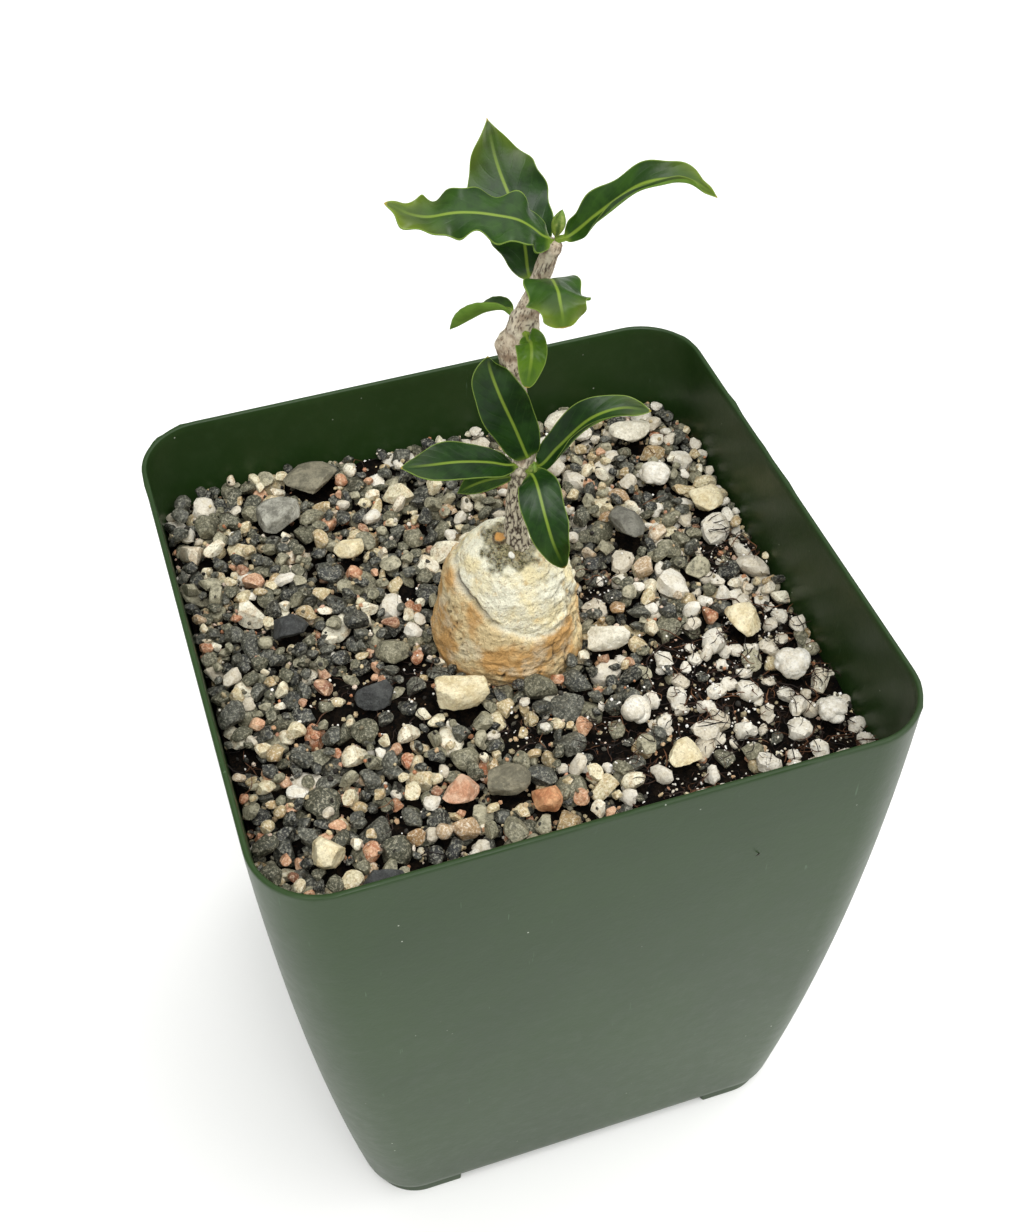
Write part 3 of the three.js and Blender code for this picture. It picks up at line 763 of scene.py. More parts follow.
def leafSurface(leaf):
    # the stalk starts inside the stem, at the nearest point of its core
    shares = np.linspace(0, 1, blade["along"])
    core = spline(stem["path"], np.linspace(0, 1, 200))
    foot = core[np.argmin(np.linalg.norm(core - leaf["rib"][0] + (0, 0, 0.6), axis=1))]
    rib = spline([foot, *leaf["rib"]], shares)
    tangent = np.gradient(rib, axis=0)
    tangent /= np.linalg.norm(tangent, axis=1)[:, None]
    side = np.cross(leaf["up"], tangent)
    side /= np.linalg.norm(side, axis=1)[:, None]
    normal = np.cross(tangent, side)
    roll = np.radians(evenSteps(leaf.get("roll", [0]), shares))[:, None]
    side, normal = side * np.cos(roll) + normal * np.sin(roll), normal * np.cos(roll) - side * np.sin(roll)
    petiole = blade["petiole"] / len(leaf["rib"])
    past = np.clip((shares - petiole) / (1 - petiole), 0, 1)
    swell = np.sin(math.pi * past ** (math.log(0.5) / math.log(leaf["widest"])))
    fullness = blade["base"] + (leaf["point"] - blade["base"]) * smooth(past, 0.4, 1)
    half = leaf["width"] / 2 * np.clip(swell, 0, 1) ** fullness
    half = np.maximum(half, blade["stalk"] * (1 - 0.9 * past))
    v = np.linspace(-1, 1, blade["across"])
    v = np.sign(v) * (1 - (1 - np.abs(v)) ** 1.3)  # finer towards the margins
    reach = np.abs(v)
    body = smooth(past, 0.02, 0.2) * smooth(past, 1.0, 0.86)
    outer = np.zeros((blade["along"], blade["across"], 2))
    for sign, curlSteps in ((-1, leaf["curl"][0]), (1, leaf["curl"][1])):
        beat = 2 * math.pi * leaf["waves"] * past + leaf["phase"] + (1.3 if sign > 0 else 0)
        wide = half * (1 + leaf["lobes"] * np.sin(beat * 1.6 + 1) * body)
        curl = np.radians(evenSteps(curlSteps, shares))
        steps = np.linspace(0, 1, blade["curlSteps"])
        bend = curl[:, None] * steps * 1.2
        run = np.cumsum(np.cos(bend), 1) / blade["curlSteps"] * wide[:, None]
        rise = np.cumsum(np.sin(bend), 1) / blade["curlSteps"] * wide[:, None]
        rise = rise + leaf["wave"] * (np.sin(beat) * body)[:, None] * steps**1.8
        mine = np.where(np.sign(v) == sign)[0]
        for row in range(blade["along"]):
            outer[row, mine, 0] = sign * np.interp(reach[mine], steps, run[row])
            outer[row, mine, 1] = np.interp(reach[mine], steps, rise[row])
    distance = reach * half[:, None]
    groove = -0.14 * bell(distance, 0, 0.32) * body[:, None]
    quilt = 0.02 * np.sin(2 * math.pi * (9 * past[:, None] - 2.2 * reach)) * body[:, None]
    quilt = quilt * smooth(reach, 0.1, 0.4)
    thick = blade["thickness"] * (1 - 0.55 * reach) * (0.35 + 0.65 * smooth(half, 0.1, 1.2))[:, None]
    thick = thick + 0.5 * (1 - smooth(past, 0, 0.14))[:, None] * (1 - reach)
    keel = 0.22 * bell(distance, 0, 0.35) * (1 - 0.7 * past)[:, None]
    upper = outer[..., 1] + groove + quilt + thick / 2
    lower = outer[..., 1] - keel + quilt * 0.6 - thick / 2

    def place(y, z):
        return rib[:, None] + side[:, None] * y[..., None] + normal[:, None] * z[..., None]

    over, under = place(outer[..., 0], upper), place(outer[..., 0], lower)
    rings = np.concatenate([over[:, ::-1], under], axis=1)
    grid = np.broadcast_to(past[:, None], (blade["along"], blade["across"]))
    across = np.broadcast_to(v, grid.shape)
    marks = {
        "along": np.concatenate([grid, grid], 1),
        "across": np.concatenate([across[:, ::-1], across], 1),
        "under": np.concatenate([grid * 0, grid * 0 + 1], 1),
        "spread": np.concatenate([distance[:, ::-1], distance], 1),
        "edge": np.concatenate([(half[:, None] - distance)[:, ::-1], half[:, None] - distance], 1),
    }
    return rings[:, ::-1], {key: values[:, ::-1] for key, values in marks.items()}


def leafSkin(leaf):
    def recipe(graph):
        along, across, under = graph.mark("along"), graph.mark("across"), graph.mark("under")
        spread, edge = graph.mark("spread"), graph.mark("edge")
        reach = across.calc("ABSOLUTE")
        mottle = graph.noise(2.6, 3, 0.55)
        fresh = leaf["fresh"]
        deep = [a + (b - a) * fresh for a, b in zip((16, 42, 8), (58, 92, 10))]
        mid = [a + (b - a) * fresh for a, b in zip((28, 59, 13), (78, 112, 18))]
        green = graph.tint(mottle.between(0.35, 0.65), shade(*deep), shade(*mid))
        ripple = (along * 60 - reach * 14 + mottle * 2).calc("SINE")
        veins = ripple.between(0.86, 1.0) * reach.between(0.08, 0.3) * reach.between(0.95, 0.7)
        green = graph.tint(veins * 0.07, green, shade(70, 104, 44))
        yellowing = along.between(0.55, 1.0) * (0.35 + 0.65 * reach.between(0.2, 1.0)) * leaf["yellow"]
        green = graph.tint(yellowing * 0.8, green, shade(128, 146, 44))
        green = graph.tint(along.between(0.1, 0.0) * 0.75, green, shade(132, 158, 58))
        rib = spread.between(0.22, 0.06) * along.between(1.0, 0.6)
        green = graph.tint(rib * 0.8, green, shade(126, 150, 50))
        margin = edge.between(0.2, 0.03)
        green = graph.tint(margin * 0.75, green, shade(128, 152, 64))
        green = graph.tint(along.between(0.975, 1.0) * 0.8, green, shade(176, 150, 60))
        below = graph.tint(mottle.between(0.3, 0.7), shade(88, 122, 36), shade(110, 146, 52))
        below = graph.tint(rib * 0.6, below, shade(160, 184, 110))
        relief = graph.noise(0.5, 2) * 0.4 + veins * 0.25 + mottle
        return {
            "Base Color": graph.tint(under, green, below),
            "Roughness": 0.3 + 0.14 * mottle + under * 0.2 + margin * 0.1,
            "Normal": graph.bump(relief, 0.08, 0.5),
        }
    return recipe


def buildLeaf(name, leaf):
    rings, marks = leafSurface(leaf)
    piece = skin(name + "_blade", rings, marks)
    material = finishFrom(name.replace("_", " "), leafSkin(leaf), Specular_IOR_Level=0.24)
    finishPiece(piece, material, [name])


for leafName, leafShape in leaves.items():
    buildLeaf(leafName, leafShape)
print("leaves grown:", len(leaves))


# buds

buds = {
    "nodes": ("terminal_bud", "axillary_bud"),
    "footAt": 0.35,  # how far into its box a bud starts
    "girth": 0.55,
    "levels": 40,
    "sides": 36,
}


def budSurface(foot, tip, radius):
    shares = np.linspace(0, 1, buds["levels"])
    path = foot + (tip - foot) * shares[:, None]
    frames = sweepFrames(path)
    turn = np.linspace(0, 2 * math.pi, buds["sides"], endpoint=False)
    swell = np.sin(math.pi * np.clip(shares * 0.9 + 0.12, 0, 1)) ** 0.8
    pleat = 1 + 0.12 * np.cos(2 * turn + 3 * shares[:, None]) + 0.05 * np.cos(5 * turn)
    size = radius * swell[:, None] * pleat
    outward = frames[:, 0, None] * np.cos(turn)[:, None] + frames[:, 1, None] * np.sin(turn)[:, None]
    marks = {"along": np.broadcast_to(shares[:, None], size.shape), "pleat": pleat}
    return path[:, None] + outward * size[..., None], marks


def budSkin(graph):
    along, pleat = graph.mark("along"), graph.mark("pleat")
    green = graph.tint(along, shade(150, 166, 70), shade(104, 138, 56))
    # painted shade: the grooves between the pleats, where the surface dips in, are tinted darker green
    green = graph.tint(pleat.between(1.0, 0.86), green, shade(78, 104, 40))
    green = graph.tint(graph.noise(0.6, 3).between(0.5, 0.7) * 0.4, green, shade(180, 184, 110))
    relief = graph.bump(graph.noise(0.4, 2), 0.05, 0.5)
    return {"Base Color": green, "Roughness": 0.45 + 0.1 * along, "Normal": relief}


def buildBuds():
    material = finishFrom("bud", budSkin, Specular_IOR_Level=0.4)
    for name in buds["nodes"]:
        low, high = cadSpan(name)
        inset = (high - low) * buds["footAt"]
        foot = np.array([low[0] + inset[0], high[1] - inset[1], low[2]])
        tip = np.array([high[0] - 0.3, low[1] + 0.3, high[2] + 0.5])
        points, marks = budSurface(foot, tip, (high - low)[:2].max() * buds["girth"])
        finishPiece(skin(name + "_scales", points, marks), material, [name])


buildBuds()


# potting mix

mix = {
    "level": 97.6,
    "fall": 0.03,  # down towards the right
    "bank": 0.035,  # up towards the back
    "loose": 2.6,  # depth of the loose dressing
    "wallGap": 0.35,
    "rings": 120,
    "shoulder": 93,  # height below which the mix follows the wall
    "steps": (10, 40),  # points round each corner and along each side
    "peaty": [  # where the dressing is thin: x, y, reach
        (27, -13, 8), (31, -24, 11), (14, -35, 7), (38, -35, 11), (9, -25, 6), (-17, -6, 6), (-27, -5, 6),
        (-4, -20, 4), (-21, -10, 6), (41, -10, 7), (17, 5, 4), (-13, 15, 3), (-26, -30, 3), (42, 8, 5),
        (24, -40, 8), (20, -20, 6), (44, -22, 6), (-24, -42, 5), (-10, 46, 4), (-46, -12, 3),
    ],
}


def mixLevel(x, y):
    return mix["level"] - mix["fall"] * x + mix["bank"] * y


def peatShare(x, y):
    bare = np.zeros(np.shape(x))
    for px, py, reach in mix["peaty"]:
        bare = np.maximum(bare, np.exp(-((x - px) ** 2 + (y - py) ** 2) / reach**2))
    return bare


def mixSurface():
    wallInset = pot["wall"] + mix["wallGap"]
    edge = potRing(mix["level"] - 1, wallInset, *mix["steps"])
    centre = np.array([*caudex["centre"], 0])
    rings = []
    for share in np.linspace(0.015, 1, mix["rings"]):
        ring = centre + (edge - centre) * share
        x, y = ring[:, 0], ring[:, 1]
        clods = 0.9 * cloud(ring * (1, 1, 0), 2.6, 4, 31) + 0.35 * cloud(ring * (1, 1, 0), 1.3, 2, 32)
        ring[:, 2] = mixLevel(x, y) - mix["loose"] * (1 - 0.75 * peatShare(x, y)) + clods
        rings.append(ring)
    floorLevel = pot["footHeight"] + pot["floor"] + 0.3
    down = [(z, wallInset) for z in np.linspace(mix["shoulder"], floorLevel + 2, 24)]
    under = [(floorLevel, inset) for inset in (wallInset + 2, 12, 24, 36)]
    rings += [potRing(z, inset, *mix["steps"]) for z, inset in down + under]
    return np.array(rings)[::-1]


def peat(graph):
    clods, fine = graph.noise(1.5, 5, 0.65), graph.noise(0.4, 3, 0.6)
    brown = graph.tint(clods.between(0.42, 0.72), shade(6, 5, 4), shade(32, 24, 16))
    brown = graph.tint(fine.between(0.6, 0.74) * 0.5, brown, shade(72, 46, 30))
    relief = graph.bump(clods + fine * 0.5, 0.9, 1.0)
    return {"Base Color": brown, "Roughness": 0.85 + 0.1 * fine, "Normal": relief}


def buildMix():
    piece = skin("potting_mix_peat", mixSurface())
    finishPiece(piece, finishFrom("peat", peat, Specular_IOR_Level=0.08), ["potting_mix"])


buildMix()
print("pot filled")


# larger stones of the dressing, one piece each

stoneLooks = {  # main shade, second shade, speck shade, share of specks
    "cream": ((238, 226, 190), (214, 196, 152), (140, 118, 76), 0.5),
    "white": ((238, 232, 212), (208, 200, 176), (120, 104, 80), 0.4),
    "perlite": ((244, 240, 226), (222, 214, 194), (96, 78, 58), 0.3),
    "speckled": ((172, 170, 156), (120, 118, 106), (60, 60, 56), 0.7),
    "olive": ((140, 134, 112), (108, 104, 86), (70, 68, 58), 0.5),
    "grey": ((128, 126, 114), (96, 94, 84), (62, 60, 54), 0.4),
    "pink": ((222, 186, 156), (200, 146, 112), (112, 92, 74), 0.4),
    "orange": ((216, 164, 118), (186, 124, 82), (96, 66, 48), 0.35),
    "dark": ((70, 72, 70), (46, 47, 46), (128, 128, 122), 0.35),
}
stones = {
    "stone_cream_at_foot": "cream", "stone_flat_oval": "olive", "stone_speckled_back": "speckled",
    "stone_cream_right": "white", "stone_white_back": "perlite", "stone_white_far": "white",
    "stone_cream_far": "white", "stone_beige_right": "cream", "stone_cream_mid_right": "cream",
    "stone_perlite_right": "perlite", "stone_perlite_corner": "perlite",
    "stone_perlite_front": "perlite", "stone_speckled_front": "cream", "stone_olive_front": "olive",
    "stone_pink_front": "pink", "stone_orange_front": "orange", "stone_cream_corner": "cream",
    "stone_dark_left": "dark", "stone_dark_corner": "dark", "stone_grey_long": "grey",
    "stone_dark_mid": "dark", "stone_tan_left": "cream",
}


def stoneFinish(main, second, speck, amount):
    def recipe(graph):
        broad, fine = graph.noise(2.2, 5, 0.65), graph.noise(0.5, 4, 0.7)
        tiny = graph.noise(0.24, 3, 0.7)
        base = graph.tint(broad.between(0.38, 0.62), shade(*main), shade(*second))
        base = graph.tint(fine.between(0.5, 0.7) * 0.5, base, shade(*[c * 0.72 for c in second]))
        base = graph.tint(fine.between(0.46, 0.34) * 0.5, base, shade(*[min(c * 1.14, 255) for c in main]))
        specks = tiny.between(0.58, 0.66) * graph.noise(1.7, 2).between(0.35, 0.6)
        base = graph.tint(specks * amount, base, shade(*speck))
        return {
            "Base Color": base,
            "Roughness": 0.55 + 0.3 * fine,
            "Normal": graph.bump(fine * 0.8 + broad * 0.6 + tiny * 0.25, 0.4, 1.0),
        }
    return recipe


def roundBall(subdivisions):
    ball = bmesh.new()
    bmesh.ops.create_icosphere(ball, subdivisions=subdivisions, radius=1)
    points = np.array([v.co for v in ball.verts])
    faces = [[v.index for v in f.verts] for f in ball.faces]
    ball.free()
    return points, faces


def chip(points, seed, cuts, depth):
    # flattens a ball against a few planes, as broken grit is
    rng = np.random.default_rng(seed)
    for _ in range(cuts):
        facing = rng.normal(size=3)
        facing /= np.linalg.norm(facing)
        excess = np.clip(points @ facing - rng.uniform(*depth), 0, None)
        points = points - facing * excess[:, None] * 0.92
    return points


def fitTo(points, low, high):
    # stretches points to fill a box
    share = (points - points.min(0)) / np.ptp(points, axis=0)
    return low + share * (high - low)


def lobed(points, seed, lobes=9):
    # swells a ball into a cluster of rounded lumps, as perlite puffs up
    rng = np.random.default_rng(int(seed * 10))
    facing = rng.normal(size=(lobes, 3))
    facing /= np.linalg.norm(facing, axis=1)[:, None]
    return points * (0.74 + 0.34 * smooth((points @ facing.T).max(1), 0.45, 1.0))[:, None]


def buildStones():
    finishes = {}
    for look, shades in stoneLooks.items():
        finishes[look] = finishFrom(look + " stone", stoneFinish(*shades))
    ball, faces = roundBall(5)
    for seed, (name, look) in enumerate(stones.items(), 1):
        lumpy = look == "perlite"
        points = lobed(ball, seed, 12) if lumpy else chip(ball, seed, 11, (0.5, 0.86))
        points = points * (1 + 0.06 * cloud(points, 0.7, 3, seed)[:, None])
        turn = Euler((0, 0, seed * 0.7)).to_matrix()
        low, high = cadSpan(name)
        points = fitTo(points @ np.array(turn), low, high)
        points = points + 0.1 * cloud(points, 0.8, 3, seed)[:, None] * ball
        finishPiece(makePiece(name + "_rock", points, faces), finishes[look], [name])


buildStones()
print("larger stones laid:", len(stones))


# loose grit: each grain drops to the lowest place it finds

grit = {
    "seed": 5,
    "count": 2500,
    "strayPerlite": 0.8,
    "strays": 175,  # grains lying on bare peat
    "tallest": 1.7,  # how far a grain may stand over the level
    "tries": 14,
    "span": 51,
    "cell": 0.3,  # millimetres
    "mouth": (47.9, 49.2, 9.8),  # half widths and corner radius where the bed meets the wall
    "blocked": 300,  # height given to places where nothing may lie
    "caudexReach": 11.3,
    "length": (2.6, 0.36, 1.5, 5.6),  # middle, spread, least and most
    "settle": 0.35,  # share of its height that a grain sinks among its neighbours
    "crumbs": 5200,
    "crumbLength": (0.6, 1.4),
    "dust": 1100,
    "dustLength": (0.25, 0.75),
    "fibres": 900,
    "fibreLength": (2.0, 6.0),
}
kinds = {  # share on the left and on the right of the pot, and how many planes cut the shape
    "slate": {"shares": (0.36, 0.28), "cuts": 11, "size": 1.0},
    "granite": {"shares": (0.34, 0.34), "cuts": 10, "size": 1.06},
    "quartz": {"shares": (0.23, 0.27), "cuts": 9, "size": 1.0},
    "feldspar": {"shares": (0.08, 0.05), "cuts": 9, "size": 0.95},
    "perlite": {"shares": (0, 0), "cuts": 0, "size": 1.12},
}


def insideMouth(x, y, gap):
    # whether a point is clear of the wall by gap
    halfX, halfY, corner = (size - gap for size in grit["mouth"])
    corner = max(corner, 0.1)
    overX = np.maximum(np.abs(x) - (halfX - corner), 0)
    overY = np.maximum(np.abs(y) - (halfY - corner), 0)
    return np.hypot(overX, overY) <= corner


def bedHeights():
    span = np.arange(-grit["span"], grit["span"], grit["cell"])
    y, x = np.meshgrid(span, span, indexing="ij")
    bare = peatShare(x, y) + 0.34 * cloud(np.stack([x, y, x * 0], -1), 4.5, 2, 41) > 0.4
    bed = mixLevel(x, y) - mix["loose"] * (1 - 0.75 * peatShare(x, y))
    bed[~insideMouth(x, y, 0)] = grit["blocked"]
    fromCaudex = np.hypot(x - caudex["centre"][0], y - caudex["centre"][1])
    bed[fromCaudex < grit["caudexReach"]] = grit["blocked"]
    for name in stones:
        low, high = cadSpan(name)
        middle, half = (low + high) / 2, (high - low) / 2
        here = ((x - middle[0]) / half[0]) ** 2 + ((y - middle[1]) / half[1]) ** 2 < 0.72
        bed[here] = grit["blocked"]
    return {"span": span, "bed": bed, "bare": bare}


def perliteShare(x, y):
    right = 0.2 * smooth(x + 0.25 * y, 8, 38)
    front = 0.12 * np.exp(-((x - 8) ** 2 + (y + 24) ** 2) / 9**2)
    far = 0.2 * np.exp(-((x - 6) ** 2 + (y - 46) ** 2) / 14**2)
    return 0.05 + right + front + far


def dropGrains(ground, count, onBare, rng):
    span, bed = ground["span"], ground["bed"]
    names = [name for name in kinds if name != "perlite"]
    shares = [kinds[name]["shares"] for name in names]
    grains = []
    middle, spread, least, most = grit["length"]
    for _ in range(count):
        length = float(np.clip(middle * math.exp(rng.normal() * spread), least, most))
        half = np.array([length, length * rng.uniform(0.66, 0.95), length * rng.uniform(0.5, 0.8)]) / 2
        best = None
        for x, y in rng.uniform(-49, 49, (grit["tries"], 2)):
            row, column = (int(round((v - span[0]) / grit["cell"])) for v in (y, x))
            if ground["bare"][row, column] != onBare or not insideMouth(x, y, half[1]):
                continue
            reach = int(half[0] / grit["cell"]) + 1
            patch = bed[row - reach:row + reach + 1, column - reach:column + reach + 1]
            steps = np.arange(-reach, reach + 1) * grit["cell"]
            width = half[:2].mean()
            within = 1 - (steps[:, None] ** 2 + steps**2) / width**2
            if patch.shape != within.shape:
                continue
            dome = np.where(within > 0, half[2] * np.sqrt(np.clip(within, 0, None)), np.nan)
            rest = np.nanmax(patch + dome) - grit["settle"] * half[2]
            over = rest + half[2] * 0.5 - mixLevel(x, y)
            if best is None or over < best[0]:
                best = (over, x, y, rest, row, column, reach, dome)
        if best is None or best[0] > grit["tallest"]:
            continue
        over, x, y, rest, row, column, reach, dome = best
        patch = bed[row - reach:row + reach + 1, column - reach:column + reach + 1]
        np.copyto(patch, np.fmax(patch, rest + dome))
        share = smooth(x, -10, 30)
        weights = np.array([left * (1 - share) + right * share for left, right in shares])
        kind = names[rng.choice(len(names), p=weights / weights.sum())]
        if rng.random() < (grit["strayPerlite"] * (x > 0) if onBare else perliteShare(x, y)):
            kind = "perlite"
        turn = (rng.normal() * 0.3, rng.normal() * 0.3, rng.uniform(0, 2 * math.pi))
        grains.append((kind, (x, y, rest), half * kinds[kind]["size"], turn, rng.random()))
    return grains


def scatter(ground, count, lengths, seed, likely):
    # small things lying on whatever is there, where likely(lift, bare, x) says so
    rng = np.random.default_rng(seed)
    spots = rng.uniform(-48.5, 48.5, (count * 8, 2))
    cells = np.round((spots - ground["span"][0]) / grit["cell"]).astype(int)
    z, bare = (ground[key][cells[:, 1], cells[:, 0]] for key in ("bed", "bare"))
    lift = z - mixLevel(spots[:, 0], spots[:, 1])
    size = rng.uniform(*lengths, len(spots)) * rng.uniform(0.7, 1, len(spots))
    chosen = (z < grit["blocked"]) & insideMouth(spots[:, 0], spots[:, 1], 0.6)
    chosen &= rng.random(len(spots)) < likely(lift, bare, spots[:, 0])
    picked = np.flatnonzero(chosen)[:count]
    points = np.column_stack([spots, z + size * 0.1])[picked]
    sizes = size[picked, None] / 2 * rng.uniform((0.8, 0.6, 0.5), (1, 1, 0.9), (len(picked), 3))
    turns = rng.uniform(0, 2 * math.pi, (len(picked), 3))
    return points, sizes, turns, rng.random(len(picked))


def namedInput(tree, name, kind, value=None):
    socket = tree.interface.new_socket(name=name, in_out="INPUT", socket_type="NodeSocket" + kind)
    if value is not None:
        socket.default_value = value


def pourTree():
    # puts one of a few shapes at each point, turned and sized as the point says, and roughens them all
    tree = bpy.data.node_groups.new("pour grains", "GeometryNodeTree")
    graph = Graph(tree)
    namedInput(tree, "Points", "Geometry")
    namedInput(tree, "Shapes", "Collection")
    namedInput(tree, "Roughness", "Float", 0.0002)
    namedInput(tree, "Feature Size", "Float", 0.002)
    namedInput(tree, "Finish", "Material")
    tree.interface.new_socket(name="Grains", in_out="OUTPUT", socket_type="NodeSocketGeometry")
    entry = graph.add("NodeGroupInput").socket.node
    given = {socket.name: Wire(graph, socket) for socket in entry.outputs if socket.name}

    def read(name, kind):
        return graph.add("GeometryNodeInputNamedAttribute", {"data_type": kind}, {"Name": name})

    shapes = graph.add(
        "GeometryNodeCollectionInfo", {},
        {"Collection": given["Shapes"], "Separate Children": True, "Reset Children": True},
    )
    placed = graph.add("GeometryNodeInstanceOnPoints", {}, {
        "Points": given["Points"], "Instance": shapes, "Pick Instance": True,
        "Instance Index": read("shape", "INT"), "Rotation": read("turn", "FLOAT_VECTOR"),
        "Scale": read("size", "FLOAT_VECTOR"),
    })
    real = graph.add("GeometryNodeRealizeInstances", {}, {"Geometry": placed})
    place = graph.add("GeometryNodeInputPosition")
    fineness = graph.sum("DIVIDE", 1.0, given["Feature Size"])
    wobbly = {"Vector": place, "Scale": fineness, "Detail": 1.0}
    wobble = graph.add("ShaderNodeTexNoise", {}, wobbly, "Color")
    centred = graph.add("ShaderNodeVectorMath", {"operation": "SUBTRACT"}, {0: wobble, 1: (0.5, 0.5, 0.5)})
    scaled = {0: centred, "Scale": given["Roughness"] * 2}
    push = graph.add("ShaderNodeVectorMath", {"operation": "SCALE"}, scaled)
    rough = graph.add("GeometryNodeSetPosition", {}, {"Geometry": real, "Offset": push})
    done = graph.add("GeometryNodeSetMaterial", {}, {"Geometry": rough, "Material": given["Finish"]})
    graph.add("NodeGroupOutput", {}, {"Grains": done})
    return tree


def pour(name, tree, points, sizes, turns, tones, shapes, finish, roughness, feature):
    mesh = bpy.data.meshes.new(name)
    mesh.from_pydata((np.asarray(points) / 1000).tolist(), [], [])
    picks = np.arange(len(points)) % len(shapes.objects)
    for key, kind, values in (
        ("size", "FLOAT_VECTOR", np.asarray(sizes) / 1000), ("turn", "FLOAT_VECTOR", np.asarray(turns)),
        ("tone", "FLOAT", np.asarray(tones)), ("shape", "INT", picks),
    ):
        layer = mesh.attributes.new(key, kind, "POINT")
        layer.data.foreach_set("vector" if kind == "FLOAT_VECTOR" else "value", np.ravel(values))
    piece = bpy.data.objects.new(name, mesh)
    scene.collection.objects.link(piece)
    modifier = piece.modifiers.new("pour", "NODES")
    modifier.node_group = tree
    values = {"Shapes": shapes, "Finish": finish}
    values |= {"Roughness": roughness / 1000, "Feature Size": feature / 1000}
    for socket in tree.interface.items_tree:
        if socket.name in values:
            modifier[socket.identifier] = values[socket.name]
    settle(piece)
    return piece


def shapeSet(name, makers):
    # a hidden set of shapes to choose from
    shapes = bpy.data.collections.new(name)
    for index, maker in enumerate(makers):
        points, faces = maker()
        piece = makePiece(f"{name}_{index:02d}", points * 1000, faces, sharpAbove=28)
        scene.collection.objects.unlink(piece)
        shapes.objects.link(piece)
    return shapes


def gravelShape(seed, cuts):
    # a ball cut by planes, its flats made single faces
    def maker():
        ball, _ = roundBall(3)
        points = chip(ball, seed, cuts, (0.5, 0.86))
        stone = bmesh.new()
        for point in points * (1 + 0.02 * cloud(ball, 0.8, 2, seed)[:, None]):
            stone.verts.new(point)
        hull = bmesh.ops.convex_hull(stone, input=stone.verts)
        bmesh.ops.delete(stone, geom=list({*hull["geom_interior"], *hull["geom_unused"]}), context="VERTS")
        edges, corners = list(stone.edges), list(stone.verts)
        bmesh.ops.dissolve_limit(stone, angle_limit=math.radians(15), verts=corners, edges=edges)
        bmesh.ops.recalc_face_normals(stone, faces=stone.faces)
        stone.verts.index_update()
        points = np.array([v.co for v in stone.verts]) * 1.08
        faces = [[v.index for v in f.verts] for f in stone.faces]
        stone.free()
        return points, faces
    return maker


def perliteShape(seed):
    def maker():
        ball, faces = roundBall(2)
        return lobed(ball, seed, 6), faces
    return maker


def crumbShape(seed):
    def maker():
        ball, faces = roundBall(1)
        return ball * (1 + 0.35 * cloud(ball, 0.7, 2, seed))[:, None], faces
    return maker


def fibreShape(seed):
    # a bent three-sided thread, one unit long
    def maker():
        rng = np.random.default_rng(seed)
        sway, dip = rng.normal(size=4) * 0.35, rng.normal(size=4) * 0.18
        bends = np.column_stack([np.linspace(-1, 1, 4), sway, dip])
        path = spline(bends, np.linspace(0, 1, 8))
        turns = np.linspace(0, 2 * math.pi, 3, endpoint=False)
        taper = 0.045 * (1.1 - np.linspace(-1, 1, 8) ** 4)
        ring = np.column_stack([turns * 0, np.cos(turns), np.sin(turns)])
        rings = path[:, None] + ring * taper[:, None, None]
        points = np.vstack([rings.reshape(-1, 3), rings[0].mean(0), rings[-1].mean(0)])
        return points, skinFaces(8, 3)
    return maker


def toneShades(graph, stops):
    # one shade for each whole grain, by its tone
    return graph.ramp(graph.mark("tone"), *[(place, shade(*colour)) for place, colour in stops])


def gravelFinish(stops, veins, specks, gloss, dust):
    # stops: shades that whole grains take. veins, specks: shade and share
    def recipe(graph):
        broad, fine = graph.noise(1.3, 4, 0.6), graph.noise(0.36, 3, 0.65)
        base = toneShades(graph, stops)
        base = graph.tint(broad.between(0.42, 0.66) * veins[1], base, shade(*veins[0]))
        mineral = graph.noise(0.42, 3, 0.75)
        base = graph.tint(mineral.between(0.53, 0.6) * specks[1], base, shade(*specks[0]))
        base = graph.tint(mineral.between(0.46, 0.38) * specks[1], base, shade(*specks[2]))
        base = graph.tint(fine.between(0.55, 0.75) * dust, base, shade(190, 178, 148))
        return {
            "Base Color": base,
            "Roughness": gloss + 0.35 * fine,
            "Normal": graph.bump(fine + broad * 0.6 + mineral * 0.25, 0.22, 0.9),
        }
    return recipe


gravelLooks = {
    "slate": gravelFinish(
        [(0, (20, 22, 21)), (0.3, (36, 38, 36)), (0.6, (54, 56, 50)), (1, (80, 80, 70))],
        ((104, 104, 92), 0.5), ((168, 166, 150), 0.55, (12, 12, 12)), 0.26, 0.25,
    ),
    "granite": gravelFinish(
        [(0, (66, 67, 54)), (0.35, (96, 95, 76)), (0.7, (134, 130, 106)), (1, (184, 178, 150))],
        ((64, 64, 50), 0.6), ((190, 184, 160), 0.5, (36, 36, 30)), 0.4, 0.35,
    ),
    "quartz": gravelFinish(
        [(0, (160, 138, 98)), (0.3, (198, 184, 144)), (0.6, (220, 212, 178)), (0.85, (240, 236, 214)),
         (1, (158, 122, 80))],
        ((184, 148, 98), 0.5), ((246, 240, 222), 0.5, (112, 88, 58)), 0.34, 0.1,
    ),
    "feldspar": gravelFinish(
        [(0, (160, 98, 64)), (0.4, (182, 128, 92)), (0.7, (202, 158, 124)), (1, (126, 80, 56))],
        ((226, 190, 152), 0.55), ((238, 216, 190), 0.45, (96, 62, 44)), 0.4, 0.1,
    ),
    "perlite": gravelFinish(
        [(0, (196, 186, 164)), (0.4, (216, 210, 194)), (1, (232, 228, 214))],
        ((196, 184, 156), 0.5), ((236, 232, 220), 0.3, (122, 102, 76)), 0.7, 0.0,
    ),
}


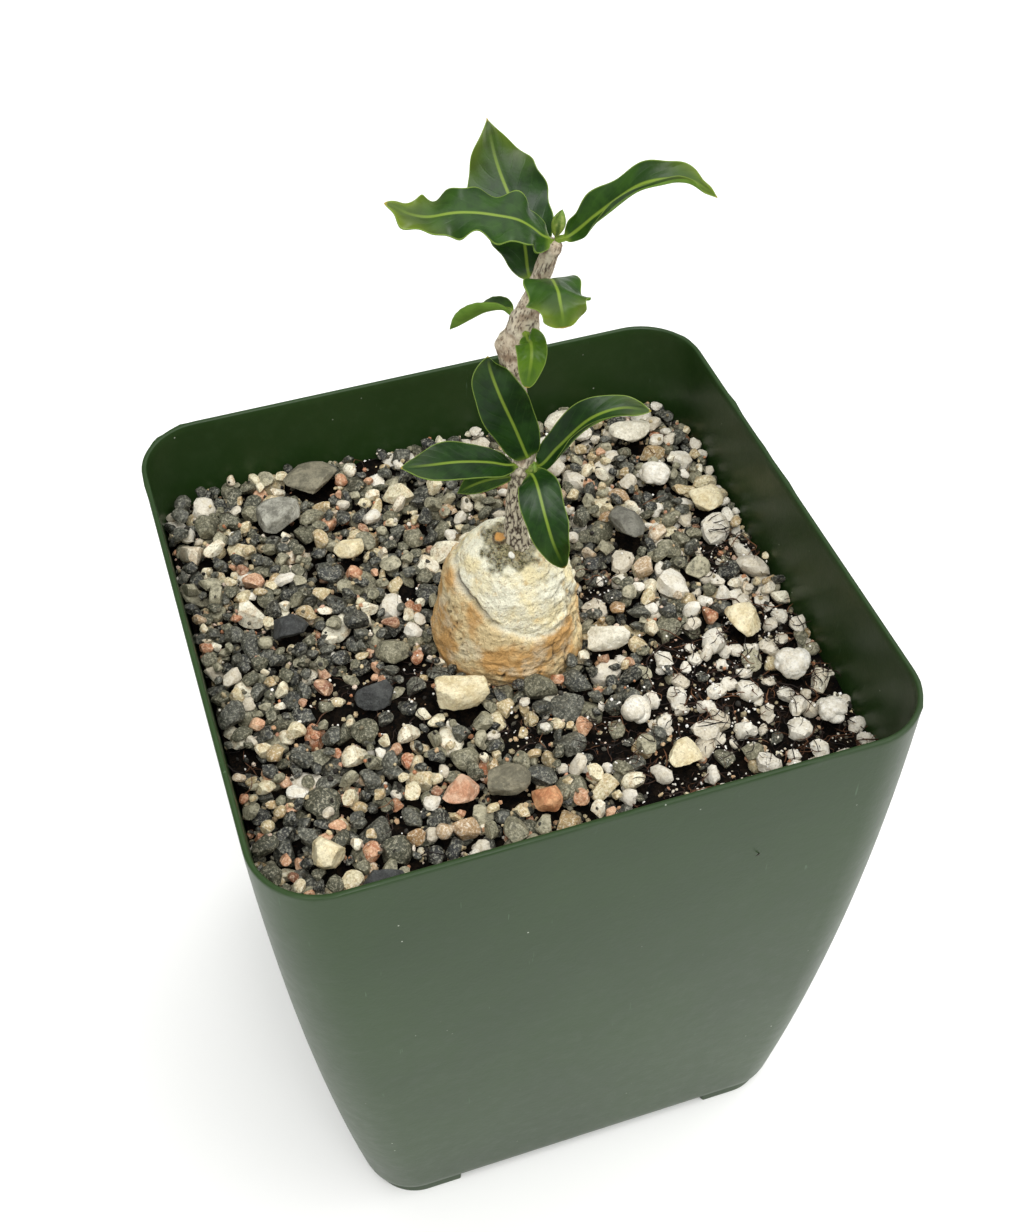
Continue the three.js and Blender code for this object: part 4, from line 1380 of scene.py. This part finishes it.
def crumbSkin(graph):
    sorts = [(0, (24, 20, 16)), (0.22, (52, 50, 44)), (0.4, (98, 94, 78)), (0.58, (150, 138, 108))]
    sorts += [(0.75, (206, 188, 148)), (0.88, (180, 120, 84)), (1, (234, 228, 210))]
    fine = graph.noise(0.3, 3)
    base = toneShades(graph, sorts)
    base = graph.tint(fine.between(0.5, 0.75) * 0.5, base, shade(70, 62, 48))
    return {"Base Color": base, "Roughness": 0.55 + 0.3 * fine, "Normal": graph.bump(fine, 0.1, 0.8)}


def dustSkin(graph):
    fine = graph.noise(0.25, 2)
    base = toneShades(graph, [(0, (206, 194, 168)), (0.5, (240, 236, 224)), (1, (252, 250, 244))])
    return {"Base Color": base, "Roughness": 0.7 + 0.2 * fine, "Normal": graph.bump(fine, 0.05, 0.6)}


def fibreSkin(graph):
    fine = graph.noise(0.5, 2)
    base = toneShades(graph, [(0, (14, 9, 6)), (0.6, (44, 26, 16)), (1, (112, 74, 46))])
    base = graph.tint(fine.between(0.5, 0.8) * 0.5, base, shade(40, 26, 18))
    return {"Base Color": base, "Roughness": 0.75 + 0.2 * fine, "Normal": graph.bump(fine, 0.04, 0.5)}


def forget(shapes):
    for shape in list(shapes.objects):
        bpy.data.objects.remove(shape)
    bpy.data.collections.remove(shapes)


def pourPiece(name, tree, columns, makers, finish, roughness, feature):
    shapes = shapeSet(name + "Shapes", makers)
    piece = pour(name, tree, *columns, shapes, finish, roughness, feature)
    finishPiece(piece, finish)
    forget(shapes)
    print(f"  {name}: {len(columns[0])} bits, {len(piece.data.polygons)} faces")


def inGaps(lift, bare, x):  # crumbs gather in the hollows between grains
    return np.where(lift < -0.4, 0.8, 0.02) * np.where(bare, 0.1, 1)


def onPeat(lift, bare, x):  # dust and fibres show on bare peat, most of all on the right
    return np.where(bare, 0.8, 0.01) * np.where(x > -5, 1, 0.3)


def buildGrit():
    ground = bedHeights()
    rng = np.random.default_rng(grit["seed"])
    grains = dropGrains(ground, grit["count"], False, rng) + dropGrains(ground, grit["strays"], True, rng)
    tree = pourTree()
    for order, (kind, look) in enumerate(kinds.items()):
        columns = list(zip(*[grain for grain in grains if grain[0] == kind]))[1:5]
        makers = [gravelShape(order * 20 + i, look["cuts"]) for i in range(12)]
        if kind == "perlite":
            makers = [perliteShape(i + 70.5) for i in range(9)]
        finish = finishFrom(kind + " grit", gravelLooks[kind], Specular_IOR_Level=0.4)
        pourPiece(kind + "_grit", tree, columns, makers, finish, 0.3 if kind == "perlite" else 0.06, 1.2)
    crumbs = scatter(ground, grit["crumbs"], grit["crumbLength"], 11, inGaps)
    dust = scatter(ground, grit["dust"], grit["dustLength"], 12, onPeat)
    fibres = list(scatter(ground, grit["fibres"], grit["fibreLength"], 13, onPeat))
    fibres[2] = fibres[2] * (0.06, 0.06, 1)
    fibres[1] = np.repeat(fibres[1][:, :1], 3, 1)
    crumbMakers = [crumbShape(i + 30.5) for i in range(8)]
    finishes = [finishFrom(*each, Specular_IOR_Level=0.4) for each in (
        ("fine crumbs", crumbSkin), ("perlite dust", dustSkin), ("peat fibre", fibreSkin),
    )]
    pourPiece("fine_crumbs", tree, crumbs, crumbMakers, finishes[0], 0.05, 0.6)
    pourPiece("perlite_dust", tree, dust, crumbMakers, finishes[1], 0.03, 0.4)
    pourPiece("peat_fibres", tree, fibres, [fibreShape(i) for i in range(9)], finishes[2], 0.1, 1.5)


buildGrit()
print("dressing poured")


# floor

def floorPaper(graph):
    mottle = graph.noise(60, 3, 0.5)
    near, far = (*[c * 0.985 for c in studio["floorShade"]], 1), (*studio["floorShade"], 1)
    fibre = graph.noise(0.9, 3)
    return {
        "Base Color": graph.tint(mottle, near, far),
        "Roughness": 0.8 + 0.1 * fibre,
        "Normal": graph.bump(fibre, 0.02, 0.3),
    }


def layFloor():
    reach = studio["floorSize"] * 500
    corners = [(-reach, -reach, 0), (reach, -reach, 0), (reach, reach, 0), (-reach, reach, 0)]
    floor = makePiece("studio_floor", corners, [[0, 1, 2, 3]])
    floor.data.materials.append(finishFrom("floor paper", floorPaper, Specular_IOR_Level=0.2))


layFloor()
